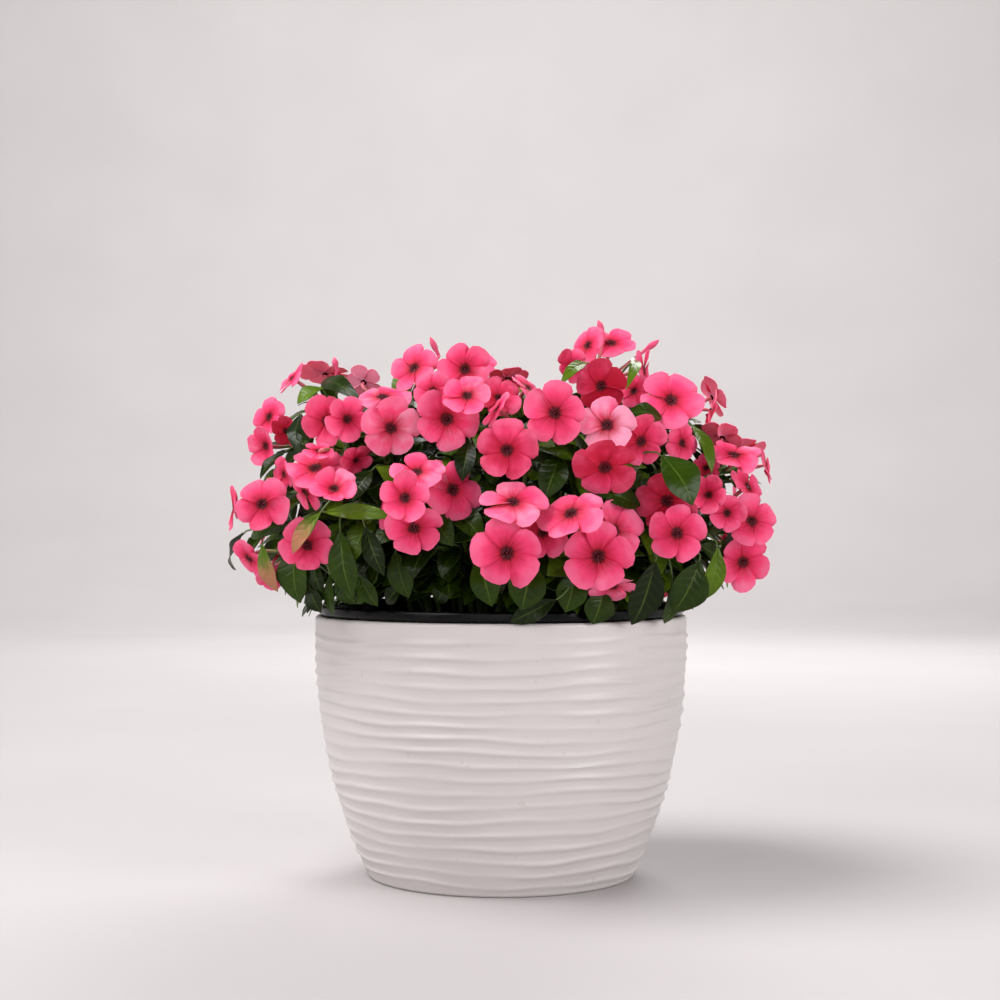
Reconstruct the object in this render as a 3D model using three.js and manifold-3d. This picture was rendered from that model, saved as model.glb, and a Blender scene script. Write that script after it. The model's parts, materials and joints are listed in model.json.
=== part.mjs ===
// A potted Madagascar periwinkle: a bushy mound of raspberry-pink blooms and glossy leaves, in a black
// nursery pot that hangs by its lip in a white glazed cover pot with wavy ridges.
// Millimetres, +Z up, the front looks along -Y, and the origin is the centre of the cover pot's foot.
import * as THREE from "three";
import { mergeVertices } from "three/addons/utils/BufferGeometryUtils.js";
import Module from "manifold-3d";

const wasm = await Module();
wasm.setup();

const vec = (x, y, z) => new THREE.Vector3(x, y, z);
const radians = THREE.MathUtils.degToRad;
const UP = vec(0, 0, 1);

// Driving dimensions

const coverPot = {
  height: 180.4,
  footRadius: 92,
  rimRadius: 129.5,
  bulge: 2.35, // how early the wall swells on its way up
  wall: 6,
  floor: 9,
  footRounding: 3,
  rimRounding: 1.4,
  sides: 22,
  ridges: 19,
  firstRidge: 7.5,
  ridgePitch: 8.9,
  ridgeRelief: 0.8,
};
const gap = 0.3; // clearance between pieces that touch
const liner = {
  wall: 1.8,
  footRadius: 84,
  throatRadius: 120,
  lipRadius: 127,
  lipHeight: 7.4,
  lipRounding: 2,
  lipTaper: 0.4,
  neck: 10, // the wall's upright part under the lip
  floor: 2.5,
  sides: 22,
  drains: 4,
  drainRadius: 6,
  drainRing: 48,
};
const soil = { top: 172, mound: 4, crumb: 1.4, edgeGap: 0.8, edgeDrop: 2, rings: [0.72, 0.4, 0] };
const crown = { halfWidth: 190, halfDepth: 163, middle: 252, rise: 126, drop: 96, from: -183, to: 30 };
const rearCrown = { halfWidth: 168, halfDepth: 152, middle: 236, rise: 92, drop: 90 };
const camera = { side: -0.7, distance: 1330, height: 245, pitch: 0.67, focal: 1895, middle: 500 };
const petal = {
  thickness: 0.9,
  notch: 0.7, // distance of the notches from the eye, as a share of the bloom's radius
  lead: 0.93, // and of the leading corner, which laps over the petal before it
  leadAngle: -25,
  tipAngle: 22,
  lap: 0.035,
  wave: 0.05,
  throat: 0.03,
};
const tube = { stub: 11, radius: 1.35, ringTurn: 0.33, bend: 0.5, sunk: 0.7 };
const knot = {
  length: 7,
  topRadius: 4.2,
  bottomRadius: 1.8,
  sides: 3,
  sink: 0.1,
  outwards: 0.7, // how much the knot's place follows the crown, and its blooms' facing
  backwards: 0.5,
  shifts: 31,
  depths: [25, 30, 21, 35, 40, 17, 45], // tried in this order behind the middle of a head's blooms
};
const crownHeart = vec(0, 0, 195); // the point that heads and leaves turn away from
const towardsViewer = vec(0, -0.8, 0.24); // how the leaves of the front turn besides
const bud = { tipRadius: 0.7, bellyRadius: 2.2, baseRadius: 1.2, belly: 0.55 };
const stem = {
  radius: 1.9,
  root: 20,
  collar: 3,
  steps: 4,
  rise: 0.7,
  leave: 0.3, // how far the stem runs on upwards from its root, and along the knot's axis to its end
  arrive: 0.35,
  forks: [3, 2, 4],
  rootShares: [0.42, 0.36, 0.48, 0.3, 0.54, 0.24, 0.6],
  rootTurns: [0, 0.15, -0.15, 0.3, -0.3],
  spacing: 11,
  farthest: 88,
};
const leafBlade = {
  thickness: 0.9,
  fold: 0.13,
  arch: 0.07,
  widestAt: 0.38,
  narrowsAt: 0.75,
  narrowing: 0.8,
  rootShift: 0.02,
  sharpTurn: 0.6, // how much a leaf of the front prefers a stem that it leaves straight
};
const stemPlaces = { length: 24, from: 6, forkFrom: 2 }; // the places along a stem where a leaf may grow
const clearance = 0.45; // kept between the blades and stems of neighbouring shoots

// Steps by which blooms and leaves move aside until they clear their neighbours
const depthSteps = [0, 2, 4, -2, 6, 8, -4, 10, 12, -6, 14, 17, 20, -9, 24, 28, 32, -12, 36, 41, 46, 52, 58];
const leafSteps = {
  deeper: [0, 4, -4, 8, 12, -8, 17, 22],
  aside: [0, 4, -4, 8, -8, 12, -12],
  shrink: [1, 0.85],
  stems: 8,
};

// Blooms that the front shows, by the head whose knot they share. Each row holds the eye's place and the
// bloom's radius in photograph pixels, the way it faces (degrees to the right, degrees up), the turn of its
// petals, how far it is cupped, and how many millimetres it lies behind the crown's surface.
const frontHeads = {
  leftTop: [
    [292, 378, 19, -68, 32, 20, 0.1, 12],
    [325, 373, 26, 176, 66, 10, 0.05, 30],
  ],
  leftShoulder: [
    [269, 417, 21, -38, 12, 52, 0.1, 14],
    [266, 446, 20, -42, -5, 63, 0.45, 20],
    [286, 431, 17, -25, -25, 0, 0.2, 34],
  ],
  leftUpper: [
    [327, 421, 26, -15, -5, 36, 0.3, 6],
    [347, 419, 23, 22, 8, 23, 0.15, -4],
    [319, 451, 16, 18, 55, 30, 0.1, 2],
  ],
  leftMiddle: [
    [315, 468, 30, -5, 44, 41, 0.1, 2],
    [334, 489, 24, 4, 36, 34, 0.4, -8],
    [305, 492, 22, -55, -32, 10, 0.05, 12],
    [284, 474, 17, -55, -5, 44, 0.2, 26],
  ],
  leftEdge: [
    [262, 504, 28, -8, 15, 33, 0.05, 0],
    [233, 508, 23, -74, 2, 15, 0.1, 34],
  ],
  leftLow: [
    [307, 545, 28, -5, -10, 33, 0.1, 4],
    [249, 558, 22, -48, -35, 20, 0.1, 22],
    [275, 576, 20, 15, -48, 40, 0.2, 22],
  ],
  middleTop: [
    [414, 368, 26, -32, 22, 50, 0.15, 14],
    [383, 397, 28, 0, 58, 18, 0.05, 6],
    [364, 382, 18, 165, 25, 8, 0.1, 24],
  ],
  middleUpper: [
    [391, 428, 30, 5, -8, 0, 0.05, 4],
    [356, 460, 18, 40, -35, 20, 0.1, 24],
  ],
  centreTop: [
    [465, 369, 27, 0, 8, 43, 0.2, 16],
    [467, 396, 25, 0, 32, 10, 0.15, -6],
    [473, 362, 25, 10, 55, 66, 0.1, 42],
  ],
  centreUpper: [
    [447, 419, 32, 5, 2, 21, 0.05, 2],
    [433, 391, 20, -12, 5, 30, 0.1, 20],
  ],
  middleLow: [
    [417, 472, 28, 0, 52, 62, 0.1, 6],
    [405, 498, 26, -3, 12, 70, 0.3, -6],
    [414, 528, 30, 0, -28, 53, 0.1, 4],
    [453, 490, 32, 22, 15, 20, 0.05, 8],
    [386, 513, 21, -68, -8, 25, 0.1, 16],
  ],
  centre: [
    [507, 450, 31, 0, -8, 0, 0.05, 0],
    [555, 413, 32, 0, 2, 3, 0.03, -4],
  ],
  centreBack: [
    [499, 398, 22, 10, 15, 45, 0.2, 22],
    [528, 388, 20, 58, 40, 12, 0.1, 26],
    [508, 377, 20, 175, 68, 50, 0.1, 46],
    [497, 409, 20, -68, 32, 0, 0.1, 12],
  ],
  rightTop: [
    [588, 345, 21, -40, 28, 8, 0.1, 8],
    [611, 343, 25, 5, 50, 35, 0.1, 4],
    [601, 386, 27, 0, -12, 62, 0.1, 14],
    [644, 370, 22, 74, 5, 20, 0.1, 24],
    [573, 366, 18, -35, -15, 30, 0.1, 34],
  ],
  rightUpper: [
    [607, 425, 29, 0, 10, 62, 0.05, 0],
    [605, 467, 33, 0, -30, 54, 0.08, 2],
    [641, 441, 27, 20, -8, 64, 0.1, 10],
  ],
  rightShoulder: [
    [671, 400, 32, 3, 33, 33, 0.12, 0],
    [682, 443, 20, 35, 0, 18, 0.1, 26],
    [634, 391, 18, -20, 10, 50, 0.1, 30],
  ],
  rightBack: [
    [712, 411, 22, 78, -14, 10, 0.1, 26],
    [713, 397, 22, 112, 22, 40, 0.1, 58],
  ],
  rightEdge: [
    [734, 455, 28, 8, 52, 62, 0.08, 6],
    [723, 437, 22, 150, 45, 30, 0.1, 32],
    [746, 449, 20, 178, 60, 0, 0.1, 40],
    [766, 465, 20, 74, 10, 20, 0.1, 24],
  ],
  rightFront: [
    [667, 501, 31, -5, -20, 49, 0.1, 12],
    [677, 533, 30, 0, 0, 71, 0.03, 0],
    [709, 495, 19, -20, 5, 25, 0.5, 2],
    [706, 468, 15, 10, -10, 60, 0.2, 26],
  ],
  rightLow: [
    [748, 487, 24, 58, 25, 10, 0.1, 18],
    [752, 521, 27, 15, 3, 65, 0.05, 0],
    [727, 513, 19, 8, 0, 15, 0.2, 14],
    [743, 562, 28, 14, -6, 30, 0.25, 8],
  ],
  frontMiddle: [
    [513, 502, 33, 0, 48, 65, 0.05, 2],
    [543, 532, 27, 0, -5, 59, 0.1, 10],
    [507, 553, 36, 0, -4, 60, 0.03, -4],
  ],
  frontRight: [
    [571, 513, 35, -20, 44, 37, 0.05, -2],
    [598, 556, 36, 2, -14, 5, 0.06, -2],
    [614, 531, 31, 24, 6, 62, 0.08, 2],
    [613, 586, 24, 4, -58, 20, 0.2, 16],
  ],
};

// Heads of the sides, back and top: the azimuth (0 is the front, 90 the right), the height angle over the
// crown's middle, and the number of blooms
const rearHeads = {
  rearRight: [110, 8, 3],
  rearRightLow: [138, -8, 3],
  rearRightHigh: [122, 42, 3],
  backRight: [164, 12, 3],
  backHigh: [180, 46, 3],
  backLow: [192, -8, 2],
  backLeft: [216, 10, 3],
  rearLeft: [248, 4, 3],
  rearLeftHigh: [242, 42, 3],
  crownTop: [196, 74, 3],
};
const rearSpread = { ring: 30, tilt: 34, radius: 20.5, depth: 6 };

// Which heads grow on one branching shoot: the first one's stem comes out of the soil, the others fork off
const shoots = {
  leftTopShoot: ["leftTop", "leftShoulder"],
  leftUpperShoot: ["leftUpper", "middleUpper"],
  leftMiddleShoot: ["leftMiddle"],
  leftEdgeShoot: ["leftEdge", "leftLow"],
  middleTopShoot: ["middleTop", "centreTop"],
  centreUpperShoot: ["centreUpper", "centreBack"],
  middleLowShoot: ["middleLow"],
  centreShoot: ["centre"],
  rightTopShoot: ["rightTop"],
  rightUpperShoot: ["rightUpper", "rightShoulder"],
  rightEdgeShoot: ["rightEdge", "rightBack"],
  rightFrontShoot: ["rightFront"],
  rightLowShoot: ["rightLow"],
  frontMiddleShoot: ["frontMiddle"],
  frontRightShoot: ["frontRight"],
  rearRightShoot: ["rearRight", "rearRightHigh"],
  backRightShoot: ["backRight", "rearRightLow"],
  backHighShoot: ["backHigh", "crownTop"],
  backLowShoot: ["backLow"],
  backLeftShoot: ["backLeft"],
  rearLeftShoot: ["rearLeft", "rearLeftHigh"],
};

// Leaves that the front shows: the places of base and tip and the width in photograph pixels, and how many
// millimetres base and tip lie behind the crown's surface
const frontLeaves = [
  [243, 533, 231, 570, 14, 16, 6],
  [262, 545, 276, 592, 18, 14, 4],
  [295, 545, 298, 603, 34, 30, 8],
  [312, 556, 322, 594, 16, 34, 20],
  [320, 513, 291, 553, 18, 6, -8],
  [340, 532, 347, 598, 34, 18, 4],
  [330, 575, 333, 617, 14, 30, 14],
  [365, 527, 383, 575, 20, 22, 12],
  [358, 575, 377, 606, 18, 36, 24],
  [325, 512, 395, 512, 18, 16, 10],
  [395, 552, 408, 598, 24, 40, 30],
  [427, 510, 452, 545, 30, 20, 8],
  [478, 558, 492, 606, 28, 24, 8],
  [532, 562, 522, 610, 36, 20, 4],
  [556, 600, 517, 632, 20, 14, -2],
  [604, 590, 597, 625, 30, 26, 4],
  [576, 572, 566, 612, 30, 30, 12],
  [655, 562, 633, 626, 40, 20, 0],
  [672, 585, 666, 625, 18, 26, 12],
  [700, 562, 674, 613, 38, 18, 4],
  [718, 548, 706, 600, 22, 14, 2],
  [700, 530, 690, 575, 24, 26, 16],
  [322, 388, 297, 402, 20, 12, -2],
  [322, 382, 357, 396, 18, 12, 2],
  [300, 415, 297, 452, 16, 22, 12],
  [285, 452, 270, 482, 16, 30, 18],
  [350, 440, 364, 480, 22, 40, 32],
  [372, 470, 352, 500, 22, 26, 16],
  [662, 418, 630, 412, 20, 14, 2],
  [663, 456, 690, 505, 40, 10, -6],
  [692, 425, 706, 472, 18, 30, 20],
  [636, 358, 625, 382, 11, 10, 0],
  [586, 362, 572, 387, 14, 16, 8],
  [560, 455, 545, 498, 28, 26, 18],
  [640, 505, 600, 492, 24, 22, 14],
  [470, 440, 462, 480, 24, 30, 24],
  [525, 460, 560, 470, 24, 30, 24],
  [655, 480, 640, 500, 20, 24, 16],
];
// Leaves in pairs up the stems of the back, and one pair on the front's top and outer stems
const pairedLeaf = {
  length: 58,
  width: 22,
  places: [0.5, 0.84],
  frontPlaces: [0.7],
  lowest: 176,
  attempts: 14,
  smallFrom: 8, // from this attempt on the leaf is smaller
  small: 0.8,
  leastSize: 0.75,
  sizeSpread: 0.4,
  turnSpread: 1.6,
  turnStep: 0.35,
  climb: 0.5,
  droop: 0.15,
};
const pairedFrontHeads = ["leftTop", "leftShoulder", "centreTop", "centreBack", "rightTop", "rightLow"];

// Closed buds: the places of tip and base in photograph pixels, and how many millimetres they lie behind the
// crown's surface
const frontBuds = {
  leftTop: [[334, 357, 337, 371, 20]],
  middleTop: [[430, 337, 439, 356, 22]],
  rightTop: [
    [659, 340, 643, 352, 16],
    [598, 320, 604, 336, 6],
  ],
};

// A repeatable draw between 0 and 1 for each whole number
const chance = (n) => {
  const wide = Math.sin(n * 12.9898 + 4.1) * 43758.5453;
  return wide - Math.floor(wide);
};

// Where the photograph's sight lines meet the crown

const eyePoint = vec(camera.side, -camera.distance, camera.height);
const pixelTowards = ([px, py], y) => {
  const pitch = radians(camera.pitch);
  const right = (px - camera.middle) / camera.focal;
  const up = (camera.middle - py) / camera.focal;
  const ahead = Math.cos(pitch) - up * Math.sin(pitch);
  const rise = (Math.sin(pitch) + up * Math.cos(pitch)) / ahead;
  const reach = y - eyePoint.y;
  return vec(eyePoint.x + (right / ahead) * reach, y, eyePoint.z + rise * reach);
};
const crownLevel = (p) => {
  const spread = Math.hypot(p.x / crown.halfWidth, p.y / crown.halfDepth);
  return p.z > crown.middle
    ? Math.hypot(spread, (p.z - crown.middle) / crown.rise)
    : Math.cbrt(spread ** 3 + ((crown.middle - p.z) / crown.drop) ** 3);
};
// The depth at which a sight line first reaches the crown's surface, or passes it most closely
const crownDepth = (pixel) => {
  let closest = { y: 0, level: Infinity };
  for (let y = crown.from; y <= crown.to; y += 1) {
    const level = crownLevel(pixelTowards(pixel, y));
    if (level < 1) return y;
    if (level < closest.level - 1e-9) closest = { y, level };
  }
  return closest.y;
};
const onCrown = (pixel, behind) => pixelTowards(pixel, crownDepth(pixel) + behind);
const pixelSize = (point) => (point.y - eyePoint.y) / camera.focal;

// Solids

// A closed body from points and faces, with the faces turned outwards
const closedBody = (points, faces) => {
  const volume = faces.reduce((sum, [a, b, c]) => {
    return sum + points[a].dot(points[b].clone().cross(points[c]));
  }, 0);
  const outward = volume > 0 ? faces : faces.map(([a, b, c]) => [a, c, b]);
  const vertProperties = Float32Array.from(points.flatMap((p) => [p.x, p.y, p.z]));
  return new wasm.Manifold(
    new wasm.Mesh({ numProp: 3, vertProperties, triVerts: Uint32Array.from(outward.flat()) }),
  );
};
const solidOf = (geometry) => {
  geometry.deleteAttribute("normal");
  geometry.deleteAttribute("uv");
  const merged = mergeVertices(geometry, 1e-3);
  const vertProperties = Float32Array.from(merged.attributes.position.array);
  const triVerts = Uint32Array.from(merged.index.array);
  return new wasm.Manifold(new wasm.Mesh({ numProp: 3, vertProperties, triVerts }));
};
const geometryOf = (solid) => {
  const { vertProperties, triVerts } = solid.getMesh();
  const geometry = new THREE.BufferGeometry();
  geometry.setAttribute("position", new THREE.BufferAttribute(vertProperties, 3));
  geometry.setIndex(new THREE.BufferAttribute(triVerts, 1));
  geometry.computeVertexNormals();
  return geometry;
};
const joined = (solids) => solids.reduce((whole, solid) => whole.add(solid));

// Each point's normal, from the faces that meet there
const pointNormals = (points, faces) => {
  const normals = points.map(() => vec(0, 0, 0));
  for (const [a, b, c] of faces) {
    const edge = points[b].clone().sub(points[a]);
    const normal = edge.cross(points[c].clone().sub(points[a]));
    for (const index of [a, b, c]) normals[index].add(normal);
  }
  return normals.map((normal) => normal.normalize());
};
// The faces between a sheet's two layers, along the edges that only one face has
const rimFaces = (faces, count) => {
  const edges = new Map();
  for (const [a, b, c] of faces) {
    for (const [from, to] of [[a, b], [b, c], [c, a]]) edges.set(`${from} ${to}`, [from, to]);
  }
  return [...edges.values()]
    .filter(([from, to]) => !edges.has(`${to} ${from}`))
    .flatMap(([from, to]) => [
      [to, from, from + count],
      [to, from + count, to + count],
    ]);
};
// A thin sheet with thickness along its own normals and alike faces on both sides
const sheetBody = (points, faces, thickness) => {
  const normals = pointNormals(points, faces);
  const layer = (offset) => points.map((p, i) => p.clone().addScaledVector(normals[i], offset));
  const back = faces.map(([a, b, c]) => [a + points.length, c + points.length, b + points.length]);
  const both = [...layer(thickness / 2), ...layer(-thickness / 2)];
  return closedBody(both, [...faces, ...back, ...rimFaces(faces, points.length)]);
};

// What has its place so far, for keeping neighbours apart

const placed = [];
const boxOf = (solid) => {
  const { min, max } = solid.boundingBox();
  return new THREE.Box3(vec(...min), vec(...max));
};
const place = (owner, solid, outer = solid, number = null) => {
  placed.push({ owner, solid, box: boxOf(solid), outer, number });
};
const meets = (solid, box, other) => {
  if (!box.intersectsBox(other.box)) return false;
  const shared = solid.intersect(other.solid);
  const empty = shared.isEmpty();
  shared.delete();
  return !empty;
};
// Whether a body clears all neighbours, and its outer part the blades of its own node
const isClear = (owner, solid, outer, number = null) => {
  const box = boxOf(solid);
  const outerBox = outer === null ? null : boxOf(outer);
  return placed.every((other) => {
    if (other.owner !== owner) return !meets(solid, box, other);
    if (outer === null || other.outer === null || (number && other.number === number)) return true;
    return !meets(outer, outerBox, { solid: other.outer, box: other.box });
  });
};

// Cover pot, liner and soil

const bodyRadius = (z) => {
  const rest = 1 - z / coverPot.height;
  return coverPot.footRadius + (coverPot.rimRadius - coverPot.footRadius) * (1 - rest ** coverPot.bulge);
};
// How far a ridge wanders up and down, and how strongly it stands out, around the pot
const ridgeSway = (angle, z) => 1.5 * Math.sin(2 * angle + z / 17) + 0.9 * Math.sin(5 * angle - z / 11 + 1);
const ridgeStrength = (angle, z) => 1 + 0.45 * Math.sin(3 * angle + z / 9 + 2);

const lathe = (profile, sides) => {
  const points = profile.map(([radius, z]) => new THREE.Vector2(radius, z));
  return new THREE.LatheGeometry(points, sides).rotateX(Math.PI / 2);
};

const buildCoverPot = () => {
  const { height, wall, floor, sides, ridges, firstRidge, ridgePitch, ridgeRelief } = coverPot;
  const { footRounding, rimRounding } = coverPot;
  const profile = [
    [0, 0],
    [bodyRadius(0) - footRounding, 0],
    [bodyRadius(footRounding), footRounding],
  ];
  for (let step = 0; step < 2 * ridges; step += 1) {
    const z = firstRidge + (step * ridgePitch) / 2;
    profile.push([bodyRadius(z) + (step % 2 ? 0 : ridgeRelief), z]);
  }
  profile.push(
    [coverPot.rimRadius, height - rimRounding],
    [coverPot.rimRadius - rimRounding, height],
    [coverPot.rimRadius - wall + rimRounding, height],
    [coverPot.rimRadius - wall, height - rimRounding],
    [bodyRadius(height / 3) - wall, height / 3],
    [bodyRadius(floor) - wall, floor],
    [0, floor],
  );
  const geometry = lathe(profile, sides);
  const place = geometry.attributes.position;
  const lowest = firstRidge - 1;
  const highest = firstRidge + ridges * ridgePitch;
  for (let i = 0; i < place.count; i += 1) {
    const point = vec(place.getX(i), place.getY(i), place.getZ(i));
    const radius = Math.hypot(point.x, point.y);
    if (point.z < lowest || point.z > highest || radius < bodyRadius(point.z) - 1) continue;
    const angle = Math.atan2(point.y, point.x);
    const relief = (radius - bodyRadius(point.z)) * ridgeStrength(angle, point.z);
    const z = point.z + ridgeSway(angle, point.z);
    const swollen = bodyRadius(z) + relief;
    place.setXYZ(i, (point.x / radius) * swollen, (point.y / radius) * swollen, z);
  }
  return solidOf(geometry);
};

const buildLiner = () => {
  const { wall, floor, footRadius, throatRadius, neck, lipRadius, lipHeight, lipRounding, lipTaper } = liner;
  const foot = coverPot.floor + gap;
  const seat = coverPot.height + gap;
  const top = seat + lipHeight;
  const profile = [
    [0, foot],
    [footRadius, foot],
    [throatRadius + wall, seat - neck],
    [throatRadius + wall, seat],
    [lipRadius - lipRounding, seat],
    [lipRadius, seat + lipRounding],
    [lipRadius - lipTaper, top - lipRounding],
    [lipRadius - lipTaper - lipRounding, top],
    [throatRadius + wall / 2, top - wall / 2],
    [throatRadius, seat - neck],
    [footRadius - wall, foot + floor],
    [0, foot + floor],
  ];
  let body = solidOf(lathe(profile, liner.sides));
  for (let drain = 0; drain < liner.drains; drain += 1) {
    const angle = (drain / liner.drains) * 2 * Math.PI;
    const hole = new THREE.CylinderGeometry(liner.drainRadius, liner.drainRadius, 4 * floor, 5)
      .rotateX(Math.PI / 2)
      .translate(liner.drainRing * Math.cos(angle), liner.drainRing * Math.sin(angle), foot);
    body = body.subtract(solidOf(hole));
  }
  return body;
};

const soilHeight = (x, y) => {
  const spread = Math.hypot(x, y) / liner.throatRadius;
  const crumbs = Math.sin(x / 7 + 1) * Math.cos(y / 8) + 0.6 * Math.sin((x + y) / 13);
  return soil.top + soil.mound * (1 - spread ** 2) + soil.crumb * crumbs;
};
const buildSoil = (roots) => {
  const bottom = coverPot.floor + gap + liner.floor + gap;
  const edge = liner.throatRadius - soil.edgeGap;
  const profile = [
    [0, bottom],
    [liner.footRadius - liner.wall - gap - soil.edgeGap, bottom],
    [edge, soil.top - soil.edgeDrop],
    ...soil.rings.map((share) => [edge * share, soil.top]),
  ];
  const geometry = lathe(profile, liner.sides);
  const place = geometry.attributes.position;
  for (let i = 0; i < place.count; i += 1) {
    if (place.getZ(i) < soil.top - soil.edgeDrop / 2) continue;
    place.setZ(i, soilHeight(place.getX(i), place.getY(i)));
  }
  let body = solidOf(geometry);
  const holeRadius = (stem.radius + gap) * Math.SQRT2;
  for (const root of roots) {
    const hole = new THREE.CylinderGeometry(holeRadius, holeRadius, 3 * stem.root, 4)
      .rotateX(Math.PI / 2)
      .translate(root.x, root.y, root.z - gap + 1.5 * stem.root);
    body = body.subtract(solidOf(hole));
  }
  return body;
};

// Blooms

const PETALS = 5;
const facingOf = (right, up) => {
  const [yaw, pitch] = [radians(right), radians(up)];
  return vec(Math.sin(yaw) * Math.cos(pitch), -Math.cos(yaw) * Math.cos(pitch), Math.sin(pitch));
};

// One bloom: five lapped petals round a sunk throat, and a three-sided tube that runs back along the route.
// The body grows by the margin on all sides where it stands for the room that the bloom keeps free.
const bloomBody = ({ eye, radius, facing, turn, cup, number }, route, margin = 0) => {
  const right = UP.clone().cross(facing).normalize();
  const up = facing.clone().cross(right);
  const at = (angle, distance, lift) => {
    return eye
      .clone()
      .addScaledVector(right, Math.sin(angle) * distance)
      .addScaledVector(up, Math.cos(angle) * distance)
      .addScaledVector(facing, lift);
  };
  const outline = [];
  for (let k = 0; k < PETALS; k += 1) {
    const middle = turn + (k * 360) / PETALS;
    const wave = petal.wave * (chance(number * PETALS + k) - 0.5);
    outline.push(
      [radians(middle - 180 / PETALS), petal.notch, 0],
      [radians(middle + petal.leadAngle), petal.lead, petal.lap + wave],
      [radians(middle + petal.tipAngle), 1, wave - petal.lap],
    );
  }
  const count = outline.length;
  const rim = (offset) => {
    return outline.map(([angle, share, lift]) => {
      return at(angle, share * radius + margin, (lift + cup * share ** 2) * radius + offset);
    });
  };
  const behind = -petal.thickness - margin;
  const points = [...rim(margin), ...rim(behind), at(0, 0, margin - petal.throat * radius)];
  const faces = [];
  for (let k = 0; k < count; k += 1) {
    const next = (k + 1) % count;
    faces.push([2 * count, next, k], [k, next, next + count], [k, next + count, k + count]);
  }
  // The tube's first ring lies on the back of the bloom, with a third of the outline to each side
  const reach = tube.radius + margin;
  let arms = [0, 1, 2].map((k) => at(radians(turn + (k + tube.ringTurn) * 120), 1, 0).sub(eye));
  const ringAt = (centre) => {
    return arms.map((arm) => points.push(centre.clone().addScaledVector(arm, reach)) - 1);
  };
  let ring = ringAt(at(0, 0, behind));
  const third = count / 3;
  for (let k = 0; k < 3; k += 1) {
    for (let step = 0; step < third; step += 1) {
      const edge = k * third + step;
      faces.push([ring[k], edge + count, ((edge + 1) % count) + count]);
    }
    faces.push([ring[k], (((k + 1) * third) % count) + count, ring[(k + 1) % 3]]);
  }
  let heading = facing.clone().negate();
  route.forEach((stop, i) => {
    const next = route[Math.min(i + 1, route.length - 1)].clone();
    next.sub(i === 0 ? eye : route[i - 1]).normalize();
    const swing = new THREE.Quaternion().setFromUnitVectors(heading, next);
    arms = arms.map((arm) => arm.clone().applyQuaternion(swing));
    heading = next;
    const before = ring;
    ring = ringAt(stop);
    for (let k = 0; k < 3; k += 1) {
      const other = (k + 1) % 3;
      faces.push([before[k], before[other], ring[other]], [before[k], ring[other], ring[k]]);
    }
  });
  faces.push(ring);
  return closedBody(points, faces);
};
const stubEnd = ({ eye, facing }) => eye.clone().addScaledVector(facing, -tube.stub);

// The blooms of the front, as their table gives them, and those of the other heads, which stand in a ring
// and tilt outwards
let bloomCount = 0;
const heads = {};
for (const [name, rows] of Object.entries(frontHeads)) {
  heads[name] = rows.map(([px, py, size, right, up, turn, cup, behind]) => {
    bloomCount += 1;
    return { pixel: [px, py], size, facing: facingOf(right, up), turn, cup, behind, number: bloomCount };
  });
}
for (const [name, [azimuth, height, count]] of Object.entries(rearHeads)) {
  const out = facingOf(azimuth, height);
  const { halfWidth, halfDepth, middle, rise, drop } = rearCrown;
  const centre = vec(out.x * halfWidth, out.y * halfDepth, middle + out.z * (height > 0 ? rise : drop));
  const across = UP.clone().cross(out).normalize();
  const along = out.clone().cross(across);
  heads[name] = Array.from({ length: count }, (_, i) => {
    const number = (bloomCount += 1);
    const angle = ((i + chance(number)) / count) * 2 * Math.PI;
    const side = across.clone().multiplyScalar(Math.sin(angle)).addScaledVector(along, Math.cos(angle));
    const tilt = radians(rearSpread.tilt * (0.6 + 0.8 * chance(number + 200)));
    const facing = out.clone().multiplyScalar(Math.cos(tilt)).addScaledVector(side, Math.sin(tilt));
    const behind = rearSpread.depth * (chance(number + 400) - 0.5);
    const eye = centre.clone().addScaledVector(side, rearSpread.ring).addScaledVector(out, -behind);
    const radius = rearSpread.radius * (0.9 + 0.2 * chance(number + 600));
    return { eye, out, radius, facing, turn: 72 * chance(number + 800), cup: 0.1, behind, number };
  });
}

// A bloom moves back along its sight line, or inwards, until it clears those in front of it
const settleBloom = (head, bloom) => {
  for (const step of depthSteps) {
    const eye = bloom.pixel
      ? onCrown(bloom.pixel, bloom.behind + step)
      : bloom.eye.clone().addScaledVector(bloom.out, -step);
    const settled = { ...bloom, eye, radius: bloom.pixel ? bloom.size * pixelSize(eye) : bloom.radius };
    const room = bloomBody(settled, [stubEnd(settled)], clearance);
    if (!isClear(head, room, room)) continue;
    const body = bloomBody(settled, [stubEnd(settled)]);
    place(head, body, body, bloom.number);
    return settled;
  }
  throw new Error(`no room for bloom ${bloom.number} of ${head}`);
};

// Stems, knots and tubes

// A three-sided stem through the stops, with one radius or one for each stop
const stemBody = (stops, radius) => {
  const points = [];
  const faces = [];
  let heading = stops[1].clone().sub(stops[0]).normalize();
  const across = (Math.abs(heading.z) > 0.9 ? vec(1, 0, 0) : UP.clone()).cross(heading).normalize();
  let arms = [0, 1, 2].map((k) => across.clone().applyAxisAngle(heading, radians(k * 120)));
  stops.forEach((stop, i) => {
    const next = stops[Math.min(i + 1, stops.length - 1)].clone();
    next.sub(stops[Math.max(i - 1, 0)]).normalize();
    const swing = new THREE.Quaternion().setFromUnitVectors(heading, next);
    arms = arms.map((arm) => arm.clone().applyQuaternion(swing));
    heading = next;
    for (const arm of arms) points.push(stop.clone().addScaledVector(arm, radius[i] ?? radius));
    if (i === 0) return;
    for (let k = 0; k < 3; k += 1) {
      const [a, b] = [3 * i - 3 + k, 3 * i - 3 + ((k + 1) % 3)];
      faces.push([a, b, b + 3], [a, b + 3, a + 3]);
    }
  });
  const last = points.length - 3;
  faces.push([0, 2, 1], [last, last + 1, last + 2]);
  return closedBody(points, faces);
};
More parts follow.
